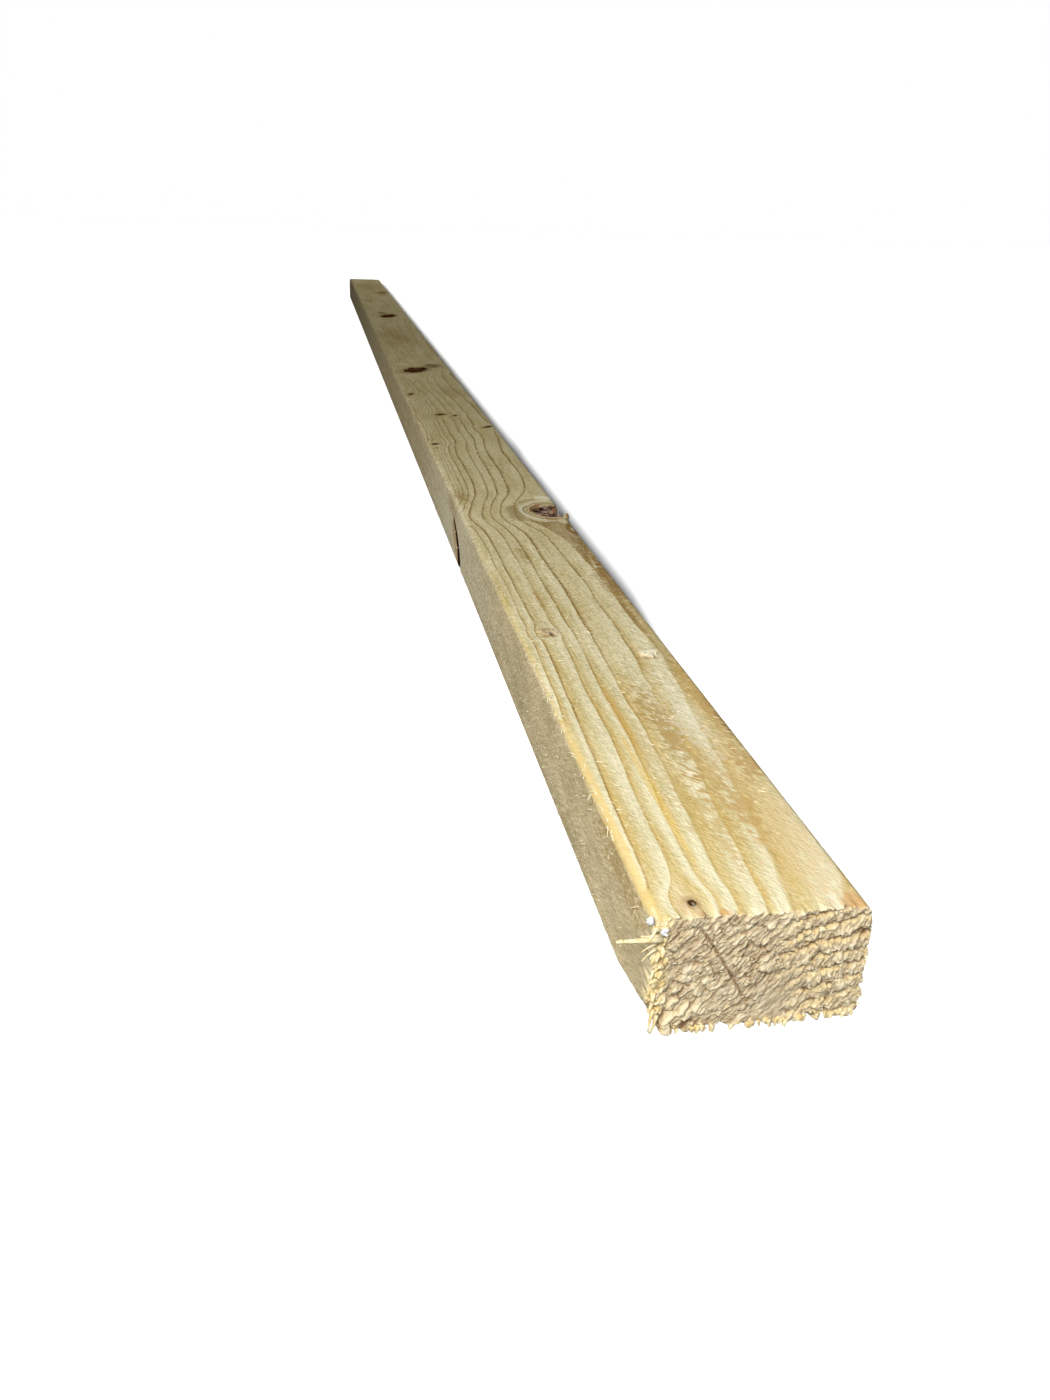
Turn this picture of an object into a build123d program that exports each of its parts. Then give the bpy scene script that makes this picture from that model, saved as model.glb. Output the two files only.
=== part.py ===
from build123d import *
import os

# One length of planed softwood studwork timber, lying on its wide face.
# Millimetres. The length runs along Y, the width along X and the thickness
# along Z. The origin is under the middle of the piece, and the end with the
# torn saw cut is the one at -Y.

# Stock
length = 2400.0
width = 63.0
thickness = 38.0
arris_radius = 3.0

# Edge knot: broken out through the right-hand upper arris.
# Its bay is deepest just behind a short lip on its near side. Its far side
# comes back towards the edge at once, and then runs out along it.
bay_from_end = 424.0
bay_length = 40.0
bay_reach = 5.5
bay_deepest = 7.0
bay_lip_bow = 0.8
bay_return_bow = 2.0
bay_depth = 12.0
bay_draft = 12.0

# Bark pocket: a curved slit on the near side of a knot in the left-hand edge,
# open at the lower arris and bowed towards the near end
slit_from_end = 451.5
slit_height = 24.5
slit_lean = 16.0
slit_bow = 13.0
slit_gap = 2.8
slit_depth = 7.0

# Seasoning check in the near end, from close under the upper face towards the
# middle of the lower one
check_from_left = 13.5
check_below_top = 4.0
check_run = 16.0
check_drop = 28.0
check_bow = 1.2
check_gap = 0.8
check_depth = 45.0
check_inner_share = 0.35

# Dead knots in the upper face: each has a gap in the shape of a crescent
# between the knot and the wood, on its near side
gap_depth = 3.0
first_knot_from_end = 1045.0
first_knot_from_left = 25.0
first_knot_width = 34.0
first_knot_bow = 19.0
first_knot_gap = 4.5
second_knot_from_end = 1626.0
second_knot_from_left = 32.0
second_knot_width = 27.0
second_knot_bow = 19.0
second_knot_gap = 5.0

# How far a cutting solid stands clear of the face that it starts from
overrun = 2.0

near_end = -length / 2
left_edge = -width / 2
right_edge = width / 2


def bowed(start, finish, bow):
    """Arc from start to finish whose middle stands off by bow, to the right of
    the straight way between them."""
    chord = Vector(*finish) - Vector(*start)
    side = Vector(chord.Y, -chord.X, 0).normalized()
    crown = Vector(*start) + chord * 0.5 + side * bow
    return ThreePointArc(start, (crown.X, crown.Y), finish)


def crescent(start, finish, bow, gap):
    """Face between two arcs that share both ends: the outer one bows by bow,
    to the right of the way from start to finish, and the inner one by gap less."""
    outer = bowed(start, finish, bow)
    inner = bowed(finish, start, gap - bow)
    return make_face([outer, inner])


def stock():
    """The planed section with its eased arrises, at full length."""
    section = Plane.XZ * RectangleRounded(width, thickness, arris_radius)
    bar = extrude(section, amount=length / 2, both=True)
    return Pos(0, 0, thickness / 2) * bar


def knot_bay():
    """The broken-out edge knot, narrower towards its floor."""
    lip_y = near_end + bay_from_end
    far_y = lip_y + bay_length
    outer_x = right_edge + overrun + bay_reach
    lip = (right_edge, lip_y)
    deepest = (right_edge - bay_reach, lip_y + bay_deepest)
    far = (right_edge, far_y)
    outline = [
        bowed(lip, deepest, -bay_lip_bow),
        bowed(deepest, far, bay_return_bow),
        Line(far, (outer_x, far_y)),
        Line((outer_x, far_y), (outer_x, lip_y)),
        Line((outer_x, lip_y), lip),
    ]
    mouth = Pos(0, 0, thickness) * make_face(outline)
    pocket = extrude(mouth, amount=-bay_depth, dir=(0, 0, 1), taper=bay_draft)
    clearance = extrude(mouth, amount=overrun, dir=(0, 0, 1))
    return pocket + clearance


def side_slit():
    """The bark pocket in the left-hand edge."""
    foot_y = near_end + slit_from_end
    foot = (foot_y, -overrun)
    tip = (foot_y + slit_lean, slit_height)
    face = Plane.YZ * crescent(tip, foot, slit_bow, slit_gap)
    cutter = extrude(face, amount=slit_depth + overrun, dir=(1, 0, 0))
    return Pos(left_edge - overrun, 0, 0) * cutter


def end_check():
    """The seasoning check, closing up as it runs into the wood."""
    top = Vector(left_edge + check_from_left, thickness - check_below_top, 0)
    foot = top + Vector(check_run, -check_drop, 0)
    mouth = crescent((foot.X, foot.Y), (top.X, top.Y), check_bow, check_gap)
    middle = (top + foot) * 0.5
    root_top = middle + (top - middle) * check_inner_share
    root_foot = middle + (foot - middle) * check_inner_share
    root_bow = check_bow * check_inner_share
    root_gap = check_gap * check_inner_share
    root = crescent((root_foot.X, root_foot.Y), (root_top.X, root_top.Y), root_bow, root_gap)
    face_plane = Plane(origin=(0, near_end - overrun, 0), x_dir=(1, 0, 0), z_dir=(0, -1, 0))
    root_plane = Plane(origin=(0, near_end + check_depth, 0), x_dir=(1, 0, 0), z_dir=(0, -1, 0))
    return loft([face_plane * mouth, root_plane * root])


def knot_gap(from_end, from_left, knot_width, bow, gap):
    """The crescent gap on the near side of a dead knot in the upper face."""
    middle_x = left_edge + from_left
    y = near_end + from_end
    start = (middle_x - knot_width / 2, y)
    finish = (middle_x + knot_width / 2, y)
    face = Pos(0, 0, thickness - gap_depth) * crescent(start, finish, bow, gap)
    return extrude(face, amount=gap_depth + overrun, dir=(0, 0, 1))


def plank():
    """The whole piece of timber, as one solid."""
    first_gap = knot_gap(
        first_knot_from_end, first_knot_from_left, first_knot_width,
        first_knot_bow, first_knot_gap,
    )
    second_gap = knot_gap(
        second_knot_from_end, second_knot_from_left, second_knot_width,
        second_knot_bow, second_knot_gap,
    )
    return stock() - knot_bay() - side_slit() - end_check() - first_gap - second_gap


os.makedirs("parts", exist_ok=True)
export_step(plank(), "parts/plank.step")
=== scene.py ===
"""Looks of one length of planed softwood studwork timber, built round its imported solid.

Sizes are millimetres unless a name says otherwise. Places on the timber are given as
(from_left, from_end, above_floor): x from the left-hand edge, y from the torn near end,
z from the underside.
"""

import itertools
import logging
import math
import random
from dataclasses import dataclass, field
from enum import Enum
from functools import cached_property, partial
from typing import Any, Callable, Protocol, Sequence

import bmesh
import bpy
import numpy as np
from mathutils import Matrix, Vector


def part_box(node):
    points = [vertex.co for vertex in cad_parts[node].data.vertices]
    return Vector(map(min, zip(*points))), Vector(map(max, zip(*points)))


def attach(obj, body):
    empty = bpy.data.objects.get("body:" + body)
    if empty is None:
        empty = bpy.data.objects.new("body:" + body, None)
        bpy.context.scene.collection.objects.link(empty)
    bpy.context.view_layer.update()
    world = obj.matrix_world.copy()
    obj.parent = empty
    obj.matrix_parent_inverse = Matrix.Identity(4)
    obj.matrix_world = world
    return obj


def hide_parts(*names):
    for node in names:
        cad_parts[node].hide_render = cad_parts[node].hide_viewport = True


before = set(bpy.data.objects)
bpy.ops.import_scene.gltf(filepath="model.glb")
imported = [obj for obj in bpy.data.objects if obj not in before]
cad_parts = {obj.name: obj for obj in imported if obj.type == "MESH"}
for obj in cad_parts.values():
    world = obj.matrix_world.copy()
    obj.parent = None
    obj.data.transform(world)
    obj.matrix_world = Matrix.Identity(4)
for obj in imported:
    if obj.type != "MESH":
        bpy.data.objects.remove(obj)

LOG = logging.getLogger("timber")
MM = 0.001
NODE = "plank"
BODY = "root"
# What the skin's points show: the crevice, bark and amber values also carry painted shade and shadow, the
# ledge painted highlight.
SHOWN = ("ledge", "gap", "bark", "raw", "amber_and_shadow")

Colour = tuple[float, float, float, float]
Point = tuple[float, float, float]
Pair = tuple[float, float]


def linear(code: str) -> Colour:
    """Turn an sRGB hex colour into linear red, green, blue and alpha.

    Args:
        code: The colour as six hex digits, such as "e6d7a9".

    Returns:
        The linear colour with an alpha of 1.
    """
    shares = [int(code[i:i + 2], 16) / 255 for i in (0, 2, 4)]
    return tuple(s / 12.92 if s <= 0.04045 else ((s + 0.055) / 1.055) ** 2.4 for s in shares) + (1.0,)


def add_node(tree: bpy.types.NodeTree, kind: str, inputs: Any = (), **settings: Any) -> bpy.types.Node:
    """Add one node to a material, with its settings and its links.

    Args:
        tree: The node tree to add it to.
        kind: The node's type without the word ShaderNode, such as "Math".
        inputs: Its inputs in order, or a dict by index or name. Each is a value, or a node or
            socket to link from.
        settings: Properties of the node.

    Returns:
        The new node.
    """
    node = tree.nodes.new("ShaderNode" + kind)
    for name, value in settings.items():
        setattr(node, name, value)
    for key, value in inputs.items() if isinstance(inputs, dict) else enumerate(inputs):
        if isinstance(value, bpy.types.Node):
            is_colour_mix = value.bl_idname == "ShaderNodeMix" and value.data_type == "RGBA"
            value = value.outputs[2 if is_colour_mix else 0]
        if isinstance(value, bpy.types.NodeSocket):
            tree.links.new(value, node.inputs[key])
        else:
            node.inputs[key].default_value = value
    return node


def object_from(bm: bmesh.types.BMesh, name: str) -> bpy.types.Object:
    """Put a finished bmesh into the scene as an object at the origin, unturned and unscaled.

    Args:
        bm: The bmesh, which is freed.
        name: The object's name.

    Returns:
        The object.
    """
    mesh = bpy.data.meshes.new(name)
    bm.to_mesh(mesh)
    bm.free()
    made = bpy.data.objects.new(name, mesh)
    bpy.context.scene.collection.objects.link(made)
    return made


def smooth_step(value: np.ndarray, start: float, end: float) -> np.ndarray:
    """Rise smoothly from 0 at start to 1 at end.

    Args:
        value: The values to map.
        start: Where the rise starts.
        end: Where the rise ends. It may be below start, for a fall.

    Returns:
        The mapped values.
    """
    share = np.clip((value - start) / (end - start), 0.0, 1.0)
    return share * share * (3.0 - 2.0 * share)


def chance(cell: np.ndarray, seed: int) -> np.ndarray:
    """Give each whole-numbered cell a random value from -1 to 1.

    Args:
        cell: One cell a row, in whole numbers.
        seed: Which set of values.

    Returns:
        One value for each cell.
    """
    key = cell @ np.array([73856093, 19349663, 83492791][:cell.shape[-1]]) + seed * 7919
    key = ((key ^ (key >> 13)) * 1274126177) & 0xFFFFFFFF
    return ((key ^ (key >> 15)) & 0xFFFF) / 32767.5 - 1.0


def grain_noise(places: np.ndarray, cell: Point, turn: float, seed: int) -> np.ndarray:
    """Smooth noise from -1 to 1, stretched along a direction in the plane of the section.

    Args:
        places: One place a row.
        cell: Size of the noise's lumps along the turned x, along y and along the turned z.
        turn: How far the x direction is turned up towards z, in degrees.
        seed: Which noise.

    Returns:
        One value for each place.
    """
    cosine, sine = math.cos(math.radians(turn)), math.sin(math.radians(turn))
    x, y, z = places.T
    turned = np.stack([x * cosine + z * sine, y, z * cosine - x * sine], axis=1) / np.array(cell)
    corner = np.floor(turned).astype(np.int64)
    share = turned - corner
    share = share * share * (3.0 - 2.0 * share)
    total = np.zeros(len(places))
    for step in itertools.product((0, 1), repeat=3):
        weight = np.prod(np.where(np.array(step) == 1, share, 1.0 - share), axis=1)
        total += chance(corner + np.array(step), seed) * weight
    return total


def chips(u: np.ndarray, v: np.ndarray, seed: int) -> tuple[np.ndarray, np.ndarray]:
    """Break a surface into uneven chips, each a tilted facet with a crevice round it.

    Args:
        u: Places along the chips, with one chip to each unit.
        v: Places across them, likewise.
        seed: Which set of chips.

    Returns:
        How high each place stands, about -1 to 1, and how deep it lies in a crevice, 0 to 1.
    """
    corner = np.floor(np.stack([u, v], axis=1)).astype(np.int64)
    nearest = np.full(len(u), 9.0)
    second = np.full(len(u), 9.0)
    height = np.zeros(len(u))
    for step in itertools.product((-1, 0, 1), repeat=2):
        cell = corner + np.array(step)
        along = u - cell[:, 0] - 0.5 - 0.42 * chance(cell, seed)
        across = v - cell[:, 1] - 0.5 - 0.42 * chance(cell, seed + 1)
        distance = np.hypot(along, across)
        tilted = 0.8 * chance(cell, seed + 2)
        tilted = tilted + along * chance(cell, seed + 3) + across * chance(cell, seed + 4)
        is_nearest = distance < nearest
        second = np.where(is_nearest, nearest, np.minimum(second, distance))
        height = np.where(is_nearest, tilted, height)
        nearest = np.minimum(nearest, distance)
    return height, smooth_step(second - nearest, 0.22, 0.02)


@dataclass(frozen=True)
class Stock:
    """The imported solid's box, and the way from millimetres on the timber to the scene."""

    low: Vector
    high: Vector

    @property
    def width(self) -> float:
        """Width of the timber."""
        return (self.high.x - self.low.x) / MM

    @property
    def length(self) -> float:
        """Length of the timber."""
        return (self.high.y - self.low.y) / MM

    @property
    def thickness(self) -> float:
        """Thickness of the timber."""
        return (self.high.z - self.low.z) / MM

    def metres(self, place: Point) -> Vector:
        """Turn a place on the timber into scene coordinates."""
        return self.low + Vector(place) * MM

    @property
    def shift(self) -> Point:
        """What object coordinates in millimetres need added to give a place on the timber."""
        return tuple(-c / MM for c in self.low)


@dataclass(frozen=True)
class GrowthRings:
    """Where the tree's growth rings lie in the timber.

    The pith is outside the section, past its lower right corner, and wanders along the
    length: pith_path gives its distance from the near end, its x and its z. radii gives the
    outer edge of each ring's dark late wood.
    """

    radii: tuple[float, ...] = (
        66.0, 71.5, 78.4, 83.3, 87.8, 92.2, 97.6, 102.1, 106.5, 110.8, 113.4, 117.4, 120.6,
        123.6, 127.9, 130.3, 132.2, 133.6, 135.0, 136.6, 138.6,
    )
    pith_path: tuple[Point, ...] = (
        (0.0, 76.6, -66.2), (25.0, 75.3, -68.0), (60.0, 74.2, -69.2), (110.0, 73.5, -70.5),
        (167.0, 74.6, -71.0), (250.0, 75.7, -71.0), (400.0, 76.0, -71.0), (440.0, 79.0, -71.0),
        (485.0, 83.6, -71.0), (600.0, 84.0, -71.0), (700.0, 88.5, -71.0), (790.0, 88.0, -71.0),
        (870.0, 85.0, -71.0), (950.0, 80.0, -71.0), (1300.0, 78.0, -71.0), (1700.0, 82.0, -71.0),
        (2400.0, 78.0, -71.0),
    )

    def pith(self, y: np.ndarray) -> tuple[np.ndarray, np.ndarray]:
        """Give the pith's x and z at distances from the near end."""
        from_end, x, z = zip(*self.pith_path)
        return np.interp(y, from_end, x), np.interp(y, from_end, z)

    def polar(self, x: np.ndarray, y: np.ndarray, z: np.ndarray) -> tuple[np.ndarray, np.ndarray]:
        """Measure places round the pith.

        Args:
            x: Distances from the left-hand edge.
            y: Distances from the near end.
            z: Heights above the floor.

        Returns:
            The radius, and the way round along the middle ring.
        """
        pith_x, pith_z = self.pith(y)
        middle = self.radii[len(self.radii) // 2]
        return np.hypot(x - pith_x, z - pith_z), np.arctan2(x - pith_x, z - pith_z) * middle

    def number(self, radius: np.ndarray) -> np.ndarray:
        """Count the rings out from the innermost one, with a fraction inside each ring."""
        return np.interp(radius, self.radii, np.arange(len(self.radii), dtype=float))


class KnotKind(Enum):
    """How a branch sits in the wood around it."""

    LIVE = "grown together with the wood"
    DEAD = "dark and rough, with bark round it"
    PIN = "a twig's small dark point"


@dataclass(frozen=True)
class Band:
    """A line of other colour round a knot, its reach and half width in the knot's half sizes."""

    reach: float
    half_width: float
    colour: str
    strength: float


@dataclass(frozen=True)
class Knot:
    """One branch, cut through by the upper face.

    across and along are the half sizes of its dark part on the upper face. swerve is how far
    from its axis the rings are pushed, and flank how far along the grain. slant is how far its
    shape leans along the grain for each millimetre across. heart and heart_light are the two
    colours of its dark part.
    """

    from_left: float
    from_end: float
    across: float
    along: float
    swerve: float
    flank: float
    kind: KnotKind
    slant: float = 0.0
    heart: str = "3a2611"
    heart_light: str = "5d4424"
    halo: float = 0.6
    bands: tuple[Band, ...] = ()


EDGE_KNOT = Knot(
    56.5, 438.0, 12.6, 15.5, 18.2, 33.0, KnotKind.DEAD,
    heart="6a4c42", heart_light="b49a8a", halo=0.35,
    bands=(
        Band(1.92, 0.34, "a58c5c", 0.60),
        Band(1.50, 0.24, "eadfbe", 0.90),
        Band(1.36, 0.06, "86683e", 0.90),
        Band(1.20, 0.07, "a8875a", 0.60),
        Band(1.05, 0.07, "9c5f34", 0.85),
    ),
)
FIRST_DEAD_KNOT = Knot(24.5, 1046.0, 14.5, 19.0, 15.0, 34.0, KnotKind.DEAD, 0.75, "4a2a14", "7a4e2a")
SECOND_DEAD_KNOT = Knot(32.0, 1627.0, 12.5, 22.0, 14.0, 34.0, KnotKind.DEAD, 0.8, "4a2a14", "7a4e2a")
KNOTS = (
    EDGE_KNOT,
    FIRST_DEAD_KNOT,
    SECOND_DEAD_KNOT,
    Knot(13.3, 224.0, 2.7, 3.0, 3.0, 6.0, KnotKind.LIVE),
    Knot(49.0, 2060.0, 8.5, 22.0, 10.0, 34.0, KnotKind.LIVE, 1.0),
    Knot(12.6, 7.4, 1.5, 2.0, 4.6, 8.0, KnotKind.PIN),
    Knot(5.6, 645.0, 3.4, 3.0, 4.0, 9.0, KnotKind.PIN, 0.5),
    Knot(56.0, 716.0, 4.6, 3.4, 5.0, 12.0, KnotKind.PIN, 0.8),
    Knot(23.0, 773.0, 4.0, 4.0, 4.5, 10.0, KnotKind.PIN, 0.5),
    Knot(35.0, 768.0, 2.2, 3.0, 3.0, 8.0, KnotKind.PIN, 0.6),
    Knot(6.0, 882.0, 3.0, 4.6, 4.0, 9.0, KnotKind.PIN, 0.8),
)


class StrokeWay(Enum):
    """Which way the strokes of a stain lie."""

    SLANTED = "slanting across the grain"
    ACROSS = "straight across the grain"
    NONE = "an even patch"


@dataclass(frozen=True)
class Stain:
    """A patch of other colour on the upper face or the edges, broken into strokes."""

    from_left: float
    from_end: float
    above_floor: float
    half_size: Point
    colour: str
    strength: float
    strokes: StrokeWay = StrokeWay.SLANTED


STAINS = (
    Stain(53.0, 45.0, 38.0, (13.0, 60.0, 9.0), "e9cd98", 0.55),
    Stain(45.0, 62.0, 38.0, (5.0, 22.0, 6.0), "d2ae6c", 0.45),
    Stain(33.0, 52.0, 38.0, (6.0, 30.0, 6.0), "cfae66", 0.60),
    Stain(37.5, 122.0, 38.0, (7.0, 40.0, 6.0), "bd9c5a", 0.80),
    Stain(44.0, 86.0, 38.0, (10.0, 44.0, 6.0), "caa868", 0.60),
    Stain(27.0, 95.0, 38.0, (4.0, 60.0, 6.0), "cfb474", 0.45),
    Stain(19.8, 75.0, 38.0, (1.5, 48.0, 5.0), "f0cb66", 0.50, StrokeWay.NONE),
    Stain(23.0, 130.0, 38.0, (1.6, 36.0, 5.0), "dcae58", 0.40, StrokeWay.NONE),
    Stain(48.5, 132.0, 38.0, (7.5, 40.0, 6.0), "f6eed0", 0.60),
    Stain(58.8, 0.5, 38.0, (4.8, 6.5, 6.0), "dcb078", 0.80, StrokeWay.NONE),
    Stain(20.3, 0.5, 38.0, (2.0, 3.0, 4.0), "d8a45e", 0.70, StrokeWay.NONE),
    Stain(14.0, 0.6, 38.0, (1.6, 2.4, 4.0), "c39a70", 0.70, StrokeWay.NONE),
    Stain(11.6, 6.4, 38.0, (4.0, 5.4, 4.0), "e2c294", 0.60, StrokeWay.NONE),
    Stain(57.5, 90.0, 38.0, (5.0, 14.0, 7.0), "c49c5c", 0.70),
    Stain(59.3, 142.0, 37.0, (5.5, 46.0, 8.0), "c8a264", 0.60),
    Stain(60.5, 125.0, 38.0, (1.2, 16.0, 3.0), "80572c", 0.60, StrokeWay.ACROSS),
    Stain(59.5, 215.0, 37.0, (4.0, 34.0, 8.0), "c4a26a", 0.25),
    Stain(58.8, 300.0, 37.0, (6.5, 60.0, 9.0), "b18e58", 0.65),
    Stain(60.2, 300.0, 37.0, (3.6, 48.0, 9.0), "a27a46", 0.65, StrokeWay.ACROSS),
    Stain(54.0, 388.0, 38.0, (8.0, 26.0, 8.0), "d4c09a", 0.45, StrokeWay.ACROSS),
    Stain(60.2, 396.0, 37.0, (3.4, 12.0, 9.0), "8e6c3c", 0.90, StrokeWay.NONE),
    Stain(60.6, 397.0, 37.6, (1.8, 7.0, 9.0), "b09058", 0.80, StrokeWay.NONE),
    Stain(23.0, 350.0, 38.0, (3.6, 18.0, 6.0), "9c8240", 0.55),
    Stain(17.6, 272.0, 38.0, (1.6, 16.0, 5.0), "b98a40", 0.50),
    Stain(5.0, 478.0, 38.0, (7.0, 17.0, 8.0), "a07a38", 0.55),
    Stain(59.5, 447.0, 37.0, (3.0, 5.0, 7.0), "9c5f34", 0.80, StrokeWay.NONE),
    Stain(57.0, 470.0, 38.0, (6.0, 6.5, 7.0), "fff4d4", 0.95, StrokeWay.NONE),
    Stain(33.0, 434.0, 38.0, (5.0, 20.0, 9.0), "9a8450", 0.50, StrokeWay.NONE),
    Stain(0.0, 480.0, 16.0, (3.0, 190.0, 30.0), "f8eecc", 0.80),
    Stain(0.0, 36.0, 31.5, (3.0, 40.0, 7.5), "b0904e", 0.55),
    Stain(0.0, 480.0, 31.0, (3.0, 26.0, 6.0), "a07a44", 0.50),
    Stain(0.6, 50.0, 37.6, (2.0, 90.0, 2.4), "edd08a", 0.75, StrokeWay.NONE),
    Stain(0.3, 230.0, 37.8, (1.3, 150.0, 1.8), "e8d08a", 0.65),
    Stain(50.0, 900.0, 38.0, (10.0, 40.0, 9.0), "9c8046", 0.40),
    Stain(46.0, 1080.0, 38.0, (9.0, 16.0, 9.0), "6c4c26", 0.65, StrokeWay.NONE),
    Stain(14.0, 1088.0, 38.0, (9.0, 12.0, 9.0), "e6dcb0", 0.60),
    Stain(25.0, 1350.0, 38.0, (26.0, 110.0, 9.0), "a58a54", 0.60),
    Stain(25.0, 1668.0, 38.0, (7.0, 22.0, 7.0), "6e4e28", 0.50, StrokeWay.NONE),
    Stain(15.0, 1895.0, 38.0, (9.0, 30.0, 9.0), "86703f", 0.30),
    Stain(30.0, 2200.0, 38.0, (30.0, 120.0, 9.0), "a48650", 0.50),
)


class Recipe:
    """One material's nodes while they are put together."""

    def __init__(self, name: str, stock: Stock | None = None) -> None:
        """Start a material.

        Args:
            name: Its name.
            stock: The timber's box, for a material that reads places on the timber.
        """
        self.material = bpy.data.materials.new(name)
        self.material.use_nodes = True
        self.add = partial(add_node, self.material.node_tree)
        self.stock = stock
        self.coordinates = self.add("TexCoord").outputs["Object"]

    @cached_property
    def place(self) -> bpy.types.Node:
        """The place on the timber in millimetres, from object coordinates."""
        return self.vector("MULTIPLY_ADD", self.coordinates, (1.0 / MM,) * 3, self.stock.shift)

    @cached_property
    def axes(self) -> tuple[bpy.types.NodeSocket, ...]:
        """The place's distance across, its distance along and its height."""
        return tuple(self.add("SeparateXYZ", [self.place]).outputs)

    def math(self, operation: str, *inputs: Any) -> bpy.types.Node:
        """Work out one operation on numbers."""
        return self.add("Math", inputs, operation=operation)

    def vector(self, operation: str, *inputs: Any) -> bpy.types.Node:
        """Work out one operation on vectors."""
        return self.add("VectorMath", inputs, operation=operation)

    def times(self, first: Any, *others: Any) -> Any:
        """Multiply numbers, from the first on."""
        for other in others:
            first = self.math("MULTIPLY", first, other)
        return first

    def off(self, value: Any, middle: float) -> bpy.types.Node:
        """Measure how far a value is from the middle, either way."""
        return self.math("ABSOLUTE", self.math("SUBTRACT", value, middle))

    def ramp(self, value: Any, *bounds: Any, smooth: bool = False) -> bpy.types.Node:
        """Map a value from one span to another, level beyond the ends.

        Args:
            value: The value to map.
            bounds: Where it starts and ends, and what it becomes there: 0 and 1 if not given.
            smooth: True for a smooth step, False for a straight run.

        Returns:
            The node that holds the mapped value.
        """
        kind = "SMOOTHSTEP" if smooth else "LINEAR"
        return self.add("MapRange", [value, *bounds], interpolation_type=kind)

    def over(self, amount: Any, under: Any, upper: Any, blend: str = "MIX") -> bpy.types.Node:
        """Lay one colour over another.

        Args:
            amount: How much of the upper one shows.
            under: The lower colour, as a hex code or a node.
            upper: The upper colour, likewise.
            blend: How they blend.

        Returns:
            The node that holds the colour.
        """
        under, upper = (linear(c) if isinstance(c, str) else c for c in (under, upper))
        return self.add("Mix", {0: amount, 6: under, 7: upper}, data_type="RGBA", blend_type=blend)

    def tint(self, strength: Any, blue_power: float) -> bpy.types.Node:
        """Make a colour to multiply with, warmer where it is darker."""
        return self.add("CombineXYZ", [strength, strength, self.math("POWER", strength, blue_power)])

    def shown(self, name: str) -> bpy.types.NodeSocket:
        """Read what the skin's points show, such as "bark"."""
        return self.add("Attribute", attribute_name=name).outputs["Fac"]

    def noise(self, cell: Point, detail: float) -> bpy.types.Node:
        """Noise whose lumps have a size in millimetres along each axis.

        Args:
            cell: Size of the lumps along x, y and z.
            detail: How many finer layers it has.

        Returns:
            The noise node.
        """
        return self._texture(self.vector("MULTIPLY", self.place, tuple(1.0 / c for c in cell)), detail)

    def strokes(self, way: Point, width: float, length: float, detail: float) -> bpy.types.Node:
        """Noise in short strokes that all lie one way.

        Args:
            way: The strokes' direction.
            width: Width of a stroke.
            length: Length of a stroke.
            detail: How many finer layers it has.

        Returns:
            The noise node.
        """
        forward = Vector(way).normalized()
        aside = forward.orthogonal().normalized()
        axes = (aside / width, forward / length, forward.cross(aside) / width)
        shares = [self.vector("DOT_PRODUCT", self.place, tuple(a)).outputs["Value"] for a in axes]
        return self._texture(self.add("CombineXYZ", shares), detail)

    def _texture(self, vector: bpy.types.Node, detail: float) -> bpy.types.Node:
        """Noise with one lump to each unit of a vector."""
        return self.add("TexNoise", {"Vector": vector, "Scale": 1.0, "Detail": detail, "Roughness": 0.55})

    def through_points(self, value: Any, points: Sequence[Pair], handle: str) -> bpy.types.Node:
        """Map a value along a line through points, level beyond its two ends.

        Args:
            value: The value to map.
            points: The line's points, from the lowest value up.
            handle: "VECTOR" for straight runs, or "AUTO_CLAMPED" for a smooth line.

        Returns:
            The node that holds the mapped value.
        """
        starts, ends = zip(*points)
        start, span = starts[0], starts[-1] - starts[0]
        low, rise = min(ends), max(ends) - min(ends)
        curve = self.add("FloatCurve", {"Value": self.ramp(value, start, start + span)})
        line = curve.mapping.curves[0].points
        line[0].location = (0.0, (ends[0] - low) / rise)
        line[1].location = (1.0, (ends[-1] - low) / rise)
        for given, wanted in points[1:-1]:
            line.new((given - start) / span, (wanted - low) / rise)
        for point in line:
            point.handle_type = handle
        curve.mapping.update()
        return self.math("MULTIPLY_ADD", curve, rise, low)

    def ring_number(self, x: Any, rings: GrowthRings) -> bpy.types.Node:
        """Work out the ring number in a material, as GrowthRings does for the meshes.

        Args:
            x: The place's x, pushed aside by knots or not.
            rings: The tree's rings.

        Returns:
            The node that holds the ring number.
        """
        _, along, height = self.axes
        pith_x, pith_z = (
            self.through_points(along, [(point[0], point[axis]) for point in rings.pith_path], "AUTO_CLAMPED")
            for axis in (1, 2))
        here = self.add("CombineXYZ", [x, 0.0, height])
        pith = self.add("CombineXYZ", [pith_x, 0.0, pith_z])
        radius = self.vector("LENGTH", self.vector("SUBTRACT", here, pith)).outputs["Value"]
        drift = self.ramp(self.noise((24.0, 90.0, 24.0), 3.0), 0.3, 0.7, -0.45, 0.45)
        points = [(edge, float(count)) for count, edge in enumerate(rings.radii)]
        return self.through_points(self.math("ADD", radius, drift), points, "VECTOR")

    def finish(self, colour: bpy.types.Node, bump: bpy.types.Node, uniform: dict) -> bpy.types.Material:
        """Join the colour and the bump to the shader.

        Args:
            colour: The node that holds the colour.
            bump: The bump node.
            uniform: The shader's uniform numbers, by socket.

        Returns:
            The material.
        """
        tree = self.material.node_tree
        shader = tree.nodes["Principled BSDF"]
        tree.links.new(colour.outputs[2], shader.inputs["Base Color"])
        tree.links.new(bump.outputs[0], shader.inputs["Normal"])
        for name, value in uniform.items():
            shader.inputs[name].default_value = value
        return self.material


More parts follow.
